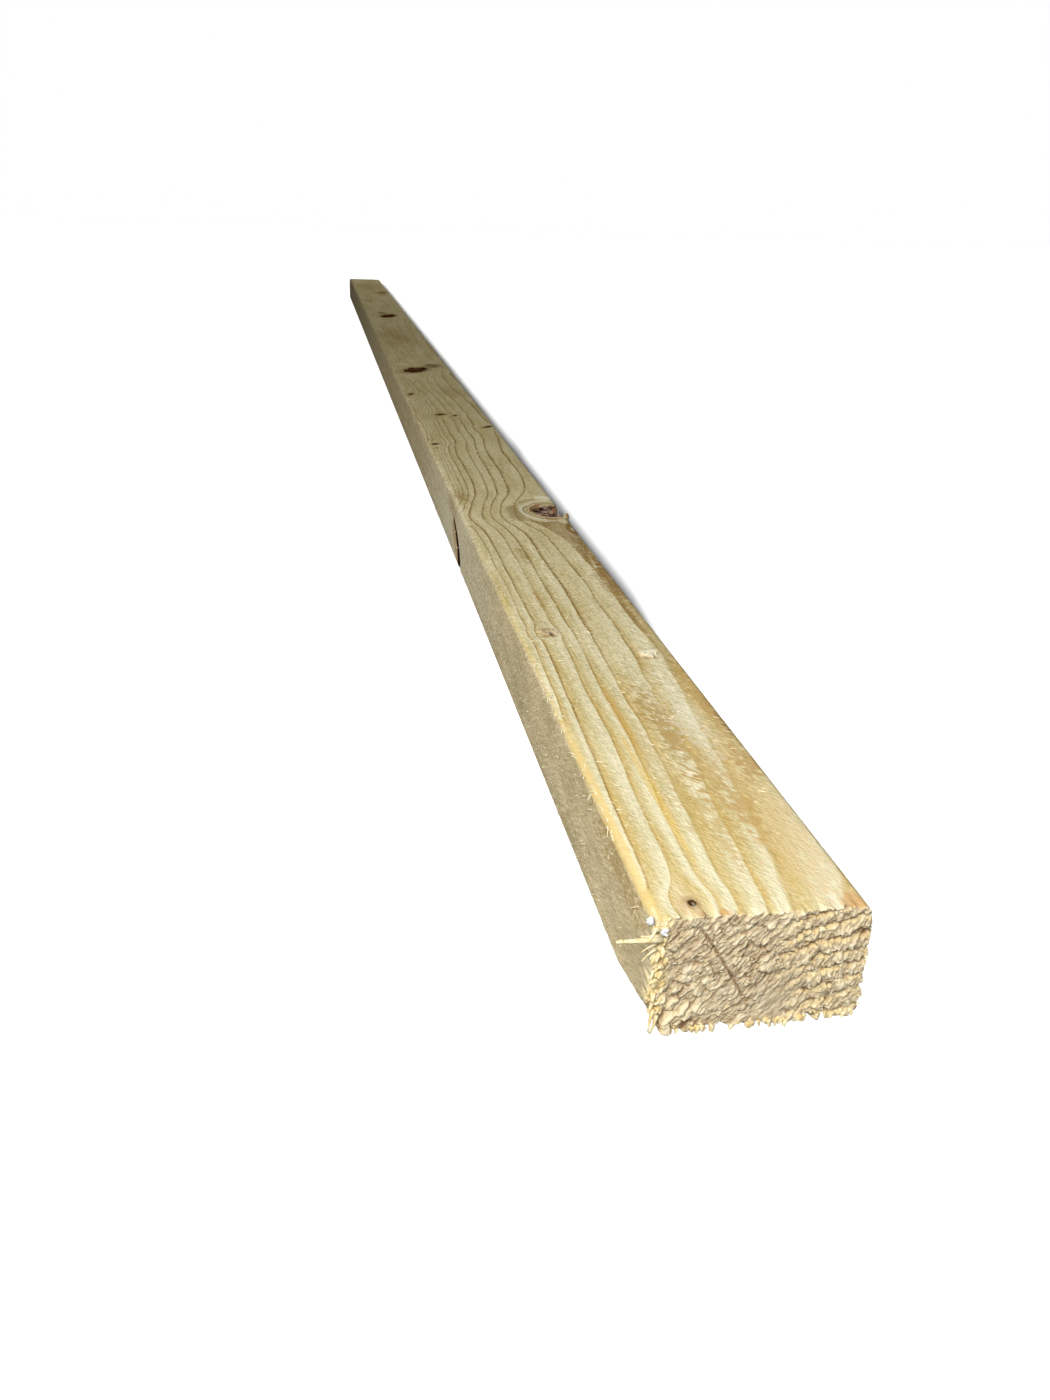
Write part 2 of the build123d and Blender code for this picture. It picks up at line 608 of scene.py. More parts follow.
@dataclass(frozen=True)
class PlanedSoftwood:
    """Kiln-dried spruce, planed by a rotary cutter that left it a little woolly.

    To the eye it is cream-yellow with thin brown late-wood lines, each fading into a warm
    yellow band on its inner side. Short raised fibres hide any gloss, brown strokes lie along
    one edge, and the dead knots are dark and rough.
    """

    stock: Stock
    rings: GrowthRings
    early_wood: str = "ecdfb0"
    early_wood_deep: str = "dac991"
    pale_wood: str = "faf1cf"
    warm_wood: str = "dcb967"
    olive_wood: str = "b9a063"
    late_wood: str = "93713a"
    edge_face: str = "e2cea2"
    # Multiplies the far part of the wood: a tint, and painted shade for the light's fall-off.
    far_tint_and_shade: str = "ebe9e2"
    fleck: str = "fdf4d0"
    pit: str = "a88c56"
    halo: str = "a08a56"
    live_knot: str = "8f6a38"
    knot_crack: str = "170d07"
    pin_knot: str = "4a311a"
    # Dark bark colour, also used as painted shade in gaps, hollows, slits and the knot's hole.
    bark: str = "2a170c"
    bark_face: str = "b8a078"
    # Amber broken wood, also used as a painted shadow beside raised spots.
    amber_and_shadow: str = "a27448"
    raw_fibre: str = "fbf3d6"
    stroke_way: Point = (0.5, -0.87, 0.40)
    saw_way: Point = (0.0, -0.9, 0.42)
    roughness: float = 0.75
    ior: float = 1.54
    sheen: float = 0.0

    def material(self) -> bpy.types.Material:
        """Build the planed faces' material."""
        recipe = Recipe("planed_spruce", self.stock)
        knots, swerved = self._knots(recipe)
        number = recipe.ring_number(swerved, self.rings)
        colour, line = self._clear_wood(recipe, number)
        colour = self._worn(recipe, colour)
        colour = self._stained(recipe, colour)
        colour = self._knot_colour(recipe, colour, knots)
        colour = self._opened(recipe, colour)
        uniform = {"Roughness": self.roughness, "IOR": self.ior, "Specular IOR Level": self.sheen}
        return recipe.finish(colour, self._bump(recipe, line, knots), uniform)

    def _knots(self, recipe: Recipe) -> tuple[list, Any]:
        """Measure how far each knot is, and push the rings aside around it.

        Args:
            recipe: This material's recipe.

        Returns:
            Each knot with the distance from its axis in half sizes, and the place's x after the
            swerve.
        """
        swerved, _, height = recipe.axes
        pith_x, pith_z = (float(v) for v in self.rings.pith(EDGE_KNOT.from_end))
        spread = 1.0 / (self.stock.thickness - pith_z)
        growth = recipe.math("MULTIPLY_ADD", height, spread, -pith_z * spread)
        shrink = recipe.math("DIVIDE", 1.0, growth)
        reaches = []
        for knot in KNOTS:
            axis_x = recipe.math("MULTIPLY_ADD", growth, knot.from_left - pith_x, pith_x)
            centre = recipe.add("CombineXYZ", [axis_x, knot.from_end, height])
            aside = recipe.add("SeparateXYZ", [recipe.vector("SUBTRACT", centre, recipe.place)])
            along = recipe.math("MULTIPLY_ADD", aside, -knot.slant, aside.outputs[1])
            leaning = recipe.add("CombineXYZ", [aside, along, 0.0])
            shares = recipe.vector("MULTIPLY", leaning, (1.0 / knot.across, 1.0 / knot.along, 0.0))
            scaled = recipe.add("VectorMath", {0: shares, "Scale": shrink}, operation="SCALE")
            reaches.append((knot, recipe.vector("LENGTH", scaled).outputs["Value"]))
            pushes = recipe.vector("MULTIPLY", leaning, (1.0 / knot.swerve, 1.0 / knot.flank, 0.0))
            squares = recipe.add("SeparateXYZ", [recipe.vector("MULTIPLY", pushes, pushes)])
            fourth = recipe.times(squares.outputs[1], squares.outputs[1])
            weaker = recipe.math("MULTIPLY_ADD", fourth, squares, squares)
            push = recipe.math("DIVIDE", aside, recipe.math("MAXIMUM", weaker, 1.0))
            swerved = recipe.math("ADD", swerved, push)
        return reaches, swerved

    def _clear_wood(self, recipe: Recipe, number: bpy.types.Node) -> tuple:
        """Colour the clear wood: early wood in two tones, a warm fade and a thin late-wood line.

        Args:
            recipe: This material's recipe.
            number: The ring number.

        Returns:
            The colour, and how much of a late-wood line there is.
        """
        ramp, times, over = recipe.ramp, recipe.times, recipe.over
        across, along, _ = recipe.axes
        part = recipe.math("FRACT", number)
        outer_start = ramp(along, 20.0, 150.0, 0.90, 0.972)
        outer_edge = ramp(part, outer_start, 1.0, 1.0, 0.0, smooth=True)
        fade_start = ramp(along, 150.0, 320.0, 0.35, 0.66)
        fade = times(ramp(part, fade_start, 0.98, smooth=True), outer_edge)
        line = times(ramp(part, 0.84, 0.955, smooth=True), outer_edge)
        draw = recipe.add("TexWhiteNoise", {"W": recipe.math("FLOOR", number)}, noise_dimensions="1D")
        uneven = recipe.noise((5.0, 50.0, 5.0), 3.0)
        depth = times(ramp(draw.outputs["Value"], 0.0, 1.0, 0.55, 0.9), ramp(uneven, 0.35, 0.6, 0.5, 1.0))
        near = ramp(along, 110.0, 10.0, 0.0, 1.0)
        left = ramp(across, 14.0, 8.0, 0.0, 1.0)
        softer = ramp(recipe.math("SUBTRACT", near, left), 0.0, 1.0, 1.0, 0.45)
        furred = times(ramp(recipe.off(along, 115.0), 95.0, 50.0), ramp(across, 24.0, 34.0))
        softer = times(softer, ramp(furred, 0.0, 1.0, 1.0, 0.30), ramp(along, 260.0, 420.0, 1.0, 1.35))
        shown = times(ramp(along, 520.0, 1100.0, 1.0, 0.20), ramp(across, 0.4, 1.8, 0.25, 1.0))
        line = times(line, depth, shown, softer)
        warmth = recipe.math("ADD", ramp(uneven, 0.38, 0.62, 0.35, 0.9), ramp(along, 250.0, 500.0, 0.0, 0.35))
        fade = times(fade, warmth, shown)
        tone = ramp(recipe.noise((12.0, 60.0, 12.0), 4.0), 0.36, 0.64)
        colour = over(tone, self.early_wood, self.early_wood_deep)
        pale = times(ramp(part, 0.60, 0.15, 0.0, 0.7, smooth=True), ramp(along, 420.0, 20.0, 0.25, 1.0))
        colour = over(pale, colour, self.pale_wood)
        warm = over(ramp(along, 120.0, 320.0), self.warm_wood, self.olive_wood)
        colour = over(line, over(fade, colour, warm), self.late_wood)
        return over(ramp(across, 0.3, 1.6, 0.8, 0.0), colour, self.edge_face), line

    def _worn(self, recipe: Recipe, colour: bpy.types.Node) -> bpy.types.Node:
        """Lay fibres, felted strokes, bright flecks and saw marks over the wood, and darken its far part with
        a tint and painted shade.

        Args:
            recipe: This material's recipe.
            colour: The clear wood's colour.

        Returns:
            The colour with the worn surface on it.
        """
        ramp, times, over = recipe.ramp, recipe.times, recipe.over
        across, along, _ = recipe.axes
        rougher = ramp(along, 15.0, 200.0, 0.55, 1.35)
        shade = ramp(recipe.noise((0.6, 26.0, 0.6), 3.0), 0.3, 0.7, -0.10, 0.08)
        felted = ramp(recipe.strokes(self.stroke_way, 1.1, 6.0, 4.0), 0.32, 0.68, -0.16, 0.14)
        wavy = ramp(recipe.strokes(self.stroke_way, 2.6, 11.0, 3.0), 0.36, 0.64, -0.13, 0.13)
        ruffled = times(ramp(recipe.off(along, 105.0), 95.0, 50.0), ramp(across, 20.0, 32.0))
        felted = recipe.math("MULTIPLY_ADD", wavy, ruffled, felted)
        both = recipe.math("MULTIPLY_ADD", recipe.math("ADD", shade, felted), rougher, 1.0)
        colour = over(1.0, colour, recipe.tint(both, 1.6), "MULTIPLY")
        small = recipe.strokes(self.stroke_way, 0.6, 2.6, 2.0)
        seen = ramp(recipe.noise((10.0, 30.0, 10.0), 3.0), 0.42, 0.60, 0.25, 1.0)
        seen = recipe.add("Math", [seen, rougher], operation="MULTIPLY", use_clamp=True)
        colour = over(times(ramp(small, 0.57, 0.69), seen), colour, self.fleck)
        colour = over(times(ramp(small, 0.42, 0.30), times(seen, 0.6)), colour, self.pit)
        sawn = ramp(recipe.strokes(self.saw_way, 0.9, 9.0, 4.0), 0.34, 0.66, 0.84, 1.16)
        marks = times(sawn, ramp(recipe.noise((6.0, 40.0, 9.0), 3.0), 0.35, 0.65, 0.88, 1.10))
        on_side = ramp(across, 0.3, 1.2, 1.0, 0.0)
        colour = over(on_side, colour, recipe.tint(marks, 1.2), "MULTIPLY")
        # Painted shade with a tint: from 300 to 900 mm along, the wood is made darker and less blue, less so
        # on the side, standing in partly for the light falling off.
        far = times(ramp(along, 300.0, 900.0), ramp(on_side, 0.0, 1.0, 1.0, 0.4))
        return over(far, colour, self.far_tint_and_shade, "MULTIPLY")

    def _stained(self, recipe: Recipe, colour: bpy.types.Node) -> bpy.types.Node:
        """Lay the stains over the wood, broken into strokes.

        Args:
            recipe: This material's recipe.
            colour: The colour so far.

        Returns:
            The stained colour.
        """
        ramp = recipe.ramp
        slanted = recipe.strokes(self.stroke_way, 1.7, 9.0, 4.0)
        crosswise = recipe.noise((5.0, 2.4, 5.0), 4.0)
        edge = ramp(recipe.noise((4.0, 9.0, 4.0), 3.0), 0.3, 0.7, -0.3, 0.3)
        uneven = {StrokeWay.NONE: recipe.times(edge, 0.4)}
        for way, noise in ((StrokeWay.SLANTED, slanted), (StrokeWay.ACROSS, crosswise)):
            uneven[way] = recipe.math("ADD", ramp(noise, 0.34, 0.66, -0.8, 0.8), edge)
        for stain in STAINS:
            centre = (stain.from_left, stain.from_end, stain.above_floor)
            away = recipe.vector("SUBTRACT", recipe.place, centre)
            shares = recipe.vector("MULTIPLY", away, tuple(1.0 / s for s in stain.half_size))
            reach = recipe.vector("LENGTH", shares).outputs["Value"]
            ragged = recipe.math("ADD", reach, uneven[stain.strokes])
            soft = 0.7 if stain.strokes is StrokeWay.NONE else 0.15
            amount = ramp(ragged, 1.2, soft, 0.0, stain.strength, smooth=True)
            colour = recipe.over(recipe.times(amount, ramp(reach, 1.5, 1.0)), colour, stain.colour)
        return colour

    def _knot_colour(self, recipe: Recipe, colour: bpy.types.Node, knots: list) -> bpy.types.Node:
        """Colour the knots: a halo with a pale rim, the knot's own rings and its cracked heart.

        Args:
            recipe: This material's recipe.
            colour: The wood's colour so far.
            knots: Each knot with the distance from its axis in half sizes.

        Returns:
            The colour with the knots in it.
        """
        ramp, over = recipe.ramp, recipe.over
        grain = recipe.noise((6.0, 4.0, 2.0), 5.0)
        rough = ramp(grain, 0.3, 0.7, -0.12, 0.12)
        light = ramp(grain, 0.48, 0.60)
        crack = ramp(recipe.noise((7.0, 3.0, 2.0), 5.0), 0.45, 0.39)
        wander = ramp(recipe.noise((7.0, 12.0, 7.0), 3.0), 0.3, 0.7, -0.06, 0.06)
        inward = ramp(recipe.axes[0], 46.0, 58.0, 1.0, 0.3)
        for knot, reach in knots:
            ragged = recipe.math("ADD", reach, rough)
            if knot.kind is KnotKind.DEAD:
                colour = over(ramp(ragged, 1.7, 1.0, 0.0, knot.halo, smooth=True), colour, self.halo)
                wavy = recipe.math("ADD", reach, wander)
                for band in knot.bands:
                    off = recipe.off(wavy, band.reach)
                    amount = ramp(off, band.half_width, 0.0, 0.0, band.strength, smooth=True)
                    colour = over(recipe.times(amount, inward), colour, band.colour)
                heart = over(crack, over(light, knot.heart, knot.heart_light), self.knot_crack)
                colour = over(ramp(ragged, 1.04, 0.90, smooth=True), colour, heart)
                continue
            is_pin = knot.kind is KnotKind.PIN
            middle, strength = (self.pin_knot, 1.0) if is_pin else (self.live_knot, 0.55)
            colour = over(ramp(ragged, 2.4, 0.9, 0.0, 0.45, smooth=True), colour, self.live_knot)
            colour = over(ramp(ragged, 1.1, 0.6, 0.0, strength, smooth=True), colour, middle)
        return colour

    def _opened(self, recipe: Recipe, colour: bpy.types.Node) -> bpy.types.Node:
        """Colour what the relief opened up: amber broken wood and painted shadow, bark and painted shade in
        the gaps and hollows, pale raw fibre.

        Args:
            recipe: This material's recipe.
            colour: The colour so far.

        Returns:
            The colour with the broken wood, the gaps and the raw fibre in it.
        """
        for name, start, end, target in (
                ("amber_and_shadow", 0.0, 1.0, self.amber_and_shadow), ("bark", 0.15, 0.45, self.bark_face),
                ("bark", 0.55, 0.9, self.bark), ("raw", 0.0, 1.0, self.raw_fibre)):
            colour = recipe.over(recipe.ramp(recipe.shown(name), start, end), colour, target)
        return colour

    def _bump(self, recipe: Recipe, line: bpy.types.Node, knots: list) -> bpy.types.Node:
        """Raise the late-wood lines and the fibres a few tenths of a millimetre.

        Args:
            recipe: This material's recipe.
            line: How much of a late-wood line there is.
            knots: Each knot with the distance from its axis in half sizes.

        Returns:
            The bump node.
        """
        height = recipe.times(recipe.noise((0.8, 9.0, 0.8), 4.0), 0.16)
        felt = recipe.strokes(self.stroke_way, 0.9, 4.0, 5.0)
        height = recipe.math("MULTIPLY_ADD", felt, 0.42, height)
        height = recipe.math("MULTIPLY_ADD", line, 0.06, height)
        crack = recipe.noise((2.6, 3.6, 2.6), 5.0)
        for knot, reach in knots:
            if knot.kind is KnotKind.DEAD:
                inside = recipe.ramp(reach, 1.1, 0.95, 0.0, 1.6)
                height = recipe.math("MULTIPLY_ADD", crack, inside, height)
        return recipe.add("Bump", {"Strength": 1.0, "Distance": MM, "Height": height})


@dataclass(frozen=True)
class TornEndGrain:
    """Spruce end grain, cross-cut by a coarse saw that tore the fibres out in chips.

    To the eye it is rough and pale, with golden ledges of late wood (partly painted highlight),
    grey-beige smeared fibre between them and brown in the crevices (painted shade).
    """

    stock: Stock
    beige: str = "e0cda6"
    grey: str = "cab896"
    gold_and_highlight: str = "f6dda2"
    pale: str = "fbf0d0"
    gap: str = "805638"
    streak_way: Point = (0.64, 0.15, 0.77)
    roughness: float = 0.8
    ior: float = 1.54
    sheen: float = 0.0

    def material(self) -> bpy.types.Material:
        """Build the torn ends' material."""
        recipe = Recipe("torn_spruce_end_grain", self.stock)
        tone = recipe.ramp(recipe.noise((3.0, 3.0, 3.0), 4.0), 0.40, 0.60)
        colour = recipe.over(tone, self.grey, self.beige)
        streak = recipe.strokes(self.streak_way, 0.5, 3.2, 4.0)
        # Painted highlight and shade: where the fibre streaks' bump stands high they are painted paler, and
        # where it sinks browner.
        colour = recipe.over(recipe.ramp(streak, 0.52, 0.68, 0.0, 0.8), colour, self.pale)
        colour = recipe.over(recipe.ramp(streak, 0.46, 0.32, 0.0, 0.5), colour, self.gap)
        # The ledges' gold is partly painted highlight, and the crevice brown is painted shade.
        for name, target in (("ledge", self.gold_and_highlight), ("raw", self.pale), ("gap", self.gap)):
            colour = recipe.over(recipe.shown(name), colour, target)
        bump = recipe.add("Bump", {"Strength": 1.0, "Distance": 0.4 * MM, "Height": streak})
        uniform = {"Roughness": self.roughness, "IOR": self.ior, "Specular IOR Level": self.sheen}
        return recipe.finish(colour, bump, uniform)


@dataclass(frozen=True)
class TornFibre:
    """Loose spruce fibre, torn up by the saw or the planer: dry, matt and paler in patches."""

    name: str = "torn_spruce_fibre"
    base: str = "e0c586"
    tip: str = "f7eabf"
    cell: float = 2.5
    roughness: float = 0.65

    def material(self) -> bpy.types.Material:
        """Build the fibres' material."""
        recipe = Recipe(self.name)
        noise = recipe.add("TexNoise", {"Vector": recipe.coordinates, "Scale": 1.0 / (self.cell * MM),
                                        "Detail": 3.0})
        colour = recipe.over(recipe.ramp(noise, 0.38, 0.62), self.base, self.tip)
        bump = recipe.add("Bump", {"Strength": 0.6, "Distance": 0.2 * MM, "Height": noise})
        return recipe.finish(colour, bump, {"Roughness": self.roughness})


@dataclass(frozen=True)
class Zone:
    """A stretch of the skin that is cut finer, so that its relief can be shaped.

    low and high are its corners on the timber. cell is the size of its facets along x, y and z.
    """

    low: Point
    high: Point
    cell: Point


@dataclass
class Skin:
    """The skin's points while their relief is shaped.

    places are where they were, and offset is how far each has moved. shown says what each
    point shows, from 0 to 1: a golden ledge with painted highlight, a crevice's painted shade,
    bark with painted shade, raw fibre, or amber broken wood with painted shadow.
    """

    places: np.ndarray
    offset: np.ndarray = field(init=False)
    ledge: np.ndarray = field(init=False)
    gap: np.ndarray = field(init=False)
    bark: np.ndarray = field(init=False)
    raw: np.ndarray = field(init=False)
    amber_and_shadow: np.ndarray = field(init=False)

    def __post_init__(self) -> None:
        """Start with nothing moved and nothing shown."""
        self.offset = np.zeros_like(self.places)
        for name in SHOWN:
            setattr(self, name, np.zeros(len(self.places)))

    def show(self, name: str, near: Any, amount: np.ndarray) -> None:
        """Let some points show at least an amount of something."""
        values = getattr(self, name)
        values[near] = np.maximum(values[near], amount)


class Relief(Protocol):
    """Something that shapes the skin: it names its zones and moves the points in them."""

    def zones(self) -> list[Zone]:
        """List the stretches to cut finer."""

    def shape(self, skin: Skin) -> None:
        """Move the skin's points."""


@dataclass(frozen=True)
class TornEnd:
    """An end that a coarse saw tore into ridges and chips along the rings.

    calm is the smooth spot low in the middle, and lumpy the coarse one left of the check: each
    has a centre and half sizes on the end.
    """

    stock: Stock
    rings: GrowthRings
    is_far: bool
    depth: float = 8.0
    skirt: float = 60.0
    near_cell: float = 0.3
    far_cell: float = 0.9
    tear: float = 1.70
    chip: float = 0.85
    calm: Pair = (37.0, 6.5)
    calm_size: Pair = (6.0, 9.5)
    lumpy: Pair = (13.5, 17.0)
    lumpy_size: Pair = (10.0, 9.0)
    check_top: Pair = (12.6, 35.6)
    check_foot: Pair = (31.0, 4.5)
    check_gap: float = 0.42

    @property
    def seed(self) -> int:
        """Which random tearing this end has."""
        return 90 if self.is_far else 10

    @property
    def scale(self) -> float:
        """How strongly this end is torn."""
        return 0.5 if self.is_far else 1.0

    def zones(self) -> list[Zone]:
        """Cut the end fine, and the faces beside the near end in two steps."""
        width, length, thickness = self.stock.width, self.stock.length, self.stock.thickness
        if self.is_far:
            return [Zone((0, length - self.depth, 0), (width, length, thickness),
                         (self.far_cell, 1.3, self.far_cell))]
        return [
            Zone((0, 0, 0), (width, self.skirt, thickness), (1.5, 3.0, 1.5)),
            Zone((0, 0, 0), (width, self.depth, thickness), (self.near_cell, 0.6, self.near_cell)),
        ]

    def shape(self, skin: Skin) -> None:
        """Tear the end, open its check and fray its edges."""
        y = skin.places[:, 1]
        from_end = self.stock.length - y if self.is_far else y
        near = np.flatnonzero(from_end < self.depth)
        places, from_end = skin.places[near], from_end[near]
        x, z = places[:, 0], places[:, 2]
        out, ledge, gap, raw = self._torn(x, z)
        fade = np.clip(1.0 - from_end / self.depth, 0.0, 1.0) ** 1.5
        moved = np.zeros_like(places)
        moved[:, 1] = -out * fade * self.scale
        if not self.is_far:
            crack = self._check(x, z)
            moved[:, 1] += 1.0 * crack * fade
            # Painted shade: the check is painted dark as well as sunk.
            gap = np.maximum(gap, 0.65 * crack)
            ledge, raw = ledge * (1.0 - crack), raw * (1.0 - crack)
        self._fray(places, moved, fade * self.scale)
        if self.is_far:
            moved[:, 1] *= -1.0
        skin.offset[near] += moved
        skin.ledge[near], skin.gap[near], skin.raw[near] = ledge, gap, raw

    def _torn(self, x: np.ndarray, z: np.ndarray) -> tuple:
        """Work out how the torn face stands out, and what it shows.

        Args:
            x: Distances from the left-hand edge.
            z: Heights above the floor.

        Returns:
            How far each place stands out, and how much golden ledge, painted crevice shade and raw fibre it
            shows.
        """
        flat = np.stack([x, np.zeros_like(x), z], axis=1)
        end = np.full_like(x, self.stock.length if self.is_far else 0.0)
        seed = self.seed
        warp_x, warp_z = (
            0.9 * grain_noise(flat, (4.0, 1.0, 4.0), 0.0, seed + extra)
            + 0.35 * grain_noise(flat, (1.3, 1.0, 1.3), 0.0, seed + extra + 1) for extra in (0, 2))
        radius, way_round = self.rings.polar(x + warp_x, end, z + warp_z)
        number = self.rings.number(radius)
        strip = np.stack([np.floor(way_round / 1.15), np.floor(number)], axis=1).astype(np.int64)
        number = number + 0.13 * chance(strip, seed + 8)
        held = np.clip(0.75 + 0.6 * grain_noise(flat, (2.4, 1.0, 1.5), 15.0, seed + 9), 0.2, 1.1)
        down = 1.0 - np.mod(number, 1.0)
        ridge = smooth_step(down, 0.0, 0.22) * smooth_step(down, 1.0, 0.80)
        is_calm = np.exp(-(((x - self.calm[0] - 0.45 * (z - 7.0)) / self.calm_size[0]) ** 2
                           + ((z - self.calm[1]) / self.calm_size[1]) ** 2))
        strength = 0.8 + 0.25 * grain_noise(flat, (9.0, 1.0, 7.0), 30.0, seed + 4)
        strength = (1.0 - 0.93 * is_calm) * strength
        is_right = smooth_step(x, 33.0, 43.0)
        is_low_left = smooth_step(x, 20.0, 13.0) * smooth_step(z, 17.0, 11.0)
        is_lumpy = np.exp(-(((x - self.lumpy[0]) / self.lumpy_size[0]) ** 2
                            + ((z - self.lumpy[1]) / self.lumpy_size[1]) ** 2)) * (1.0 - is_low_left)
        parts = [
            (is_right, way_round / 2.0, number + 0.25, 0.65),
            ((1.0 - is_right) * is_low_left, *self._turned(x + warp_x, z + warp_z, 52.0, 4.8, 2.6), 1.9),
            ((1.0 - is_right) * is_lumpy, way_round / 3.0, radius / 1.9, 1.4),
            ((1.0 - is_right) * (1.0 - is_low_left) * (1.0 - is_lumpy),
             *self._turned(x + warp_x, z + warp_z, 46.0, 4.6, 1.4), 0.75),
        ]
        chip, crevice = np.zeros_like(x), np.zeros_like(x)
        for index, (share, u, v, size) in enumerate(parts):
            height, gap = chips(u, v, seed + 20 + 10 * index)
            chip += share * size * height
            crevice += share * gap
        small_height, small_gap = chips(*self._turned(x, z, 50.0, 1.9, 0.7), seed + 70)
        steep = grain_noise(flat, (2.6, 1.0, 0.5), 66.0, seed + 5)
        slant = grain_noise(flat, (4.2, 1.0, 0.5), 48.0, seed + 6)
        streak = steep * is_right + slant * (1.0 - is_right)
        rows = self.tear * strength * held * (ridge - 0.6) * (0.12 + 0.88 * is_right)
        out = rows + self.chip * strength * chip + 0.3 * strength * small_height
        out += (0.36 + 0.22 * is_right) * streak * (0.25 + 0.75 * strength)
        out -= strength * (0.66 * crevice * (1.0 - 0.5 * is_right) + 0.2 * small_gap)
        # Painted highlight over the late wood's own gold: it lies on the up-facing slope of each ridge, where
        # the light from above falls.
        gold_and_highlight = smooth_step(down, 0.02, 0.10) * smooth_step(down, 0.36, 0.20) * strength * is_right
        # The golden fibre low on the left and down the left-hand edge is the wood's own colour.
        low_gold = 0.8 * smooth_step(x, 22.0, 6.0) * smooth_step(z, 24.0, 12.0)
        left_gold = smooth_step(x + 1.6 * warp_x, 6.0, 2.0)
        gold_and_highlight = np.maximum(gold_and_highlight, np.maximum(low_gold * smooth_step(chip, -0.2, 0.7), left_gold))
        # Painted shade: dark under each ridge, in the crevices between chips and where the torn face sinks
        # deepest, lighter near the left-hand edge.
        broken = smooth_step(grain_noise(flat, (3.4, 1.0, 1.6), 30.0, seed + 7), -0.35, 0.35)
        under = np.maximum(smooth_step(down, 0.80, 0.93), smooth_step(down, 0.08, 0.0))
        dark = np.maximum(0.85 * under * is_right, 0.85 * crevice * (1.0 - 0.7 * is_right)) * broken
        dark = np.maximum(dark, smooth_step(out, -0.45, -1.1)) * strength
        dark *= 0.35 + 0.65 * smooth_step(x, 1.0, 5.0)
        raw = smooth_step(chip + 0.5 * small_height, 0.1, 0.9) * (1.0 - dark)
        return out, *(np.clip(shown, 0.0, 1.0) for shown in (gold_and_highlight * 0.8, dark, raw * 0.6))

    @staticmethod
    def _turned(x: np.ndarray, z: np.ndarray, turn: float, length: float, width: float) -> tuple:
        """Count cells along and across a direction on the end.

        Args:
            x: Distances from the left-hand edge.
            z: Heights above the floor.
            turn: The direction, in degrees up from x.
            length: Length of a cell.
            width: Width of a cell.

        Returns:
            The counts along and across.
        """
        cosine, sine = math.cos(math.radians(turn)), math.sin(math.radians(turn))
        return (x * cosine + z * sine) / length, (z * cosine - x * sine) / width

    def _check(self, x: np.ndarray, z: np.ndarray) -> np.ndarray:
        """Show how far each place is into the seasoning check, from 0 to 1."""
        (top_x, top_z), (foot_x, foot_z) = self.check_top, self.check_foot
        run_x, run_z = foot_x - top_x, foot_z - top_z
        length = math.hypot(run_x, run_z)
        along = ((x - top_x) * run_x + (z - top_z) * run_z) / length ** 2
        across = ((x - top_x) * run_z - (z - top_z) * run_x) / length
        across = across + 0.6 * (1.0 - (2.0 * np.clip(along, 0, 1) - 1.0) ** 2)
        shown = smooth_step(along, -0.05, 0.15) * smooth_step(along, 1.02, 0.8)
        return smooth_step(np.abs(across), self.check_gap + 0.22, 0.1) * shown

    def _fray(self, places: np.ndarray, moved: np.ndarray, fade: np.ndarray) -> None:
        """Fray the end's edges: teeth along the bottom, fringe on the left, nicks elsewhere.

        Args:
            places: Places on the skin near the end.
            moved: How each place moves, added to here.
            fade: How much of the fraying each place gets.
        """
        x, z = places[:, 0], places[:, 2]
        width, thickness = self.stock.width, self.stock.thickness
        line = np.stack([x, np.zeros_like(x), np.zeros_like(x)], axis=1)
        teeth = grain_noise(line, (1.1, 1.0, 1.0), 0.0, self.seed + 6) * 0.8
        teeth += grain_noise(line, (3.1, 1.0, 1.0), 0.0, self.seed + 7) * 0.9
        lift = 0.6 + teeth + 1.5 * smooth_step(x, 41.0, 48.0) + 2.6 * smooth_step(x, 3.6, 2.0)
        moved[:, 2] += np.maximum(lift, 0.0) * fade * smooth_step(z, 7.0, 0.0)
        nick = grain_noise(line, (1.4, 1.0, 1.0), 0.0, self.seed + 8)
        moved[:, 2] += 0.45 * nick * fade * smooth_step(z, thickness - 2.5, thickness)
        column = np.stack([np.zeros_like(z), np.zeros_like(z), z], axis=1)
        fringe = grain_noise(column, (1.0, 1.0, 1.4), 0.0, self.seed + 9)
        moved[:, 0] += (0.9 * fringe - 0.1) * fade * smooth_step(x, 4.0, 0.0)
        moved[:, 0] += 0.5 * fringe * fade * smooth_step(x, width - 3.0, width)


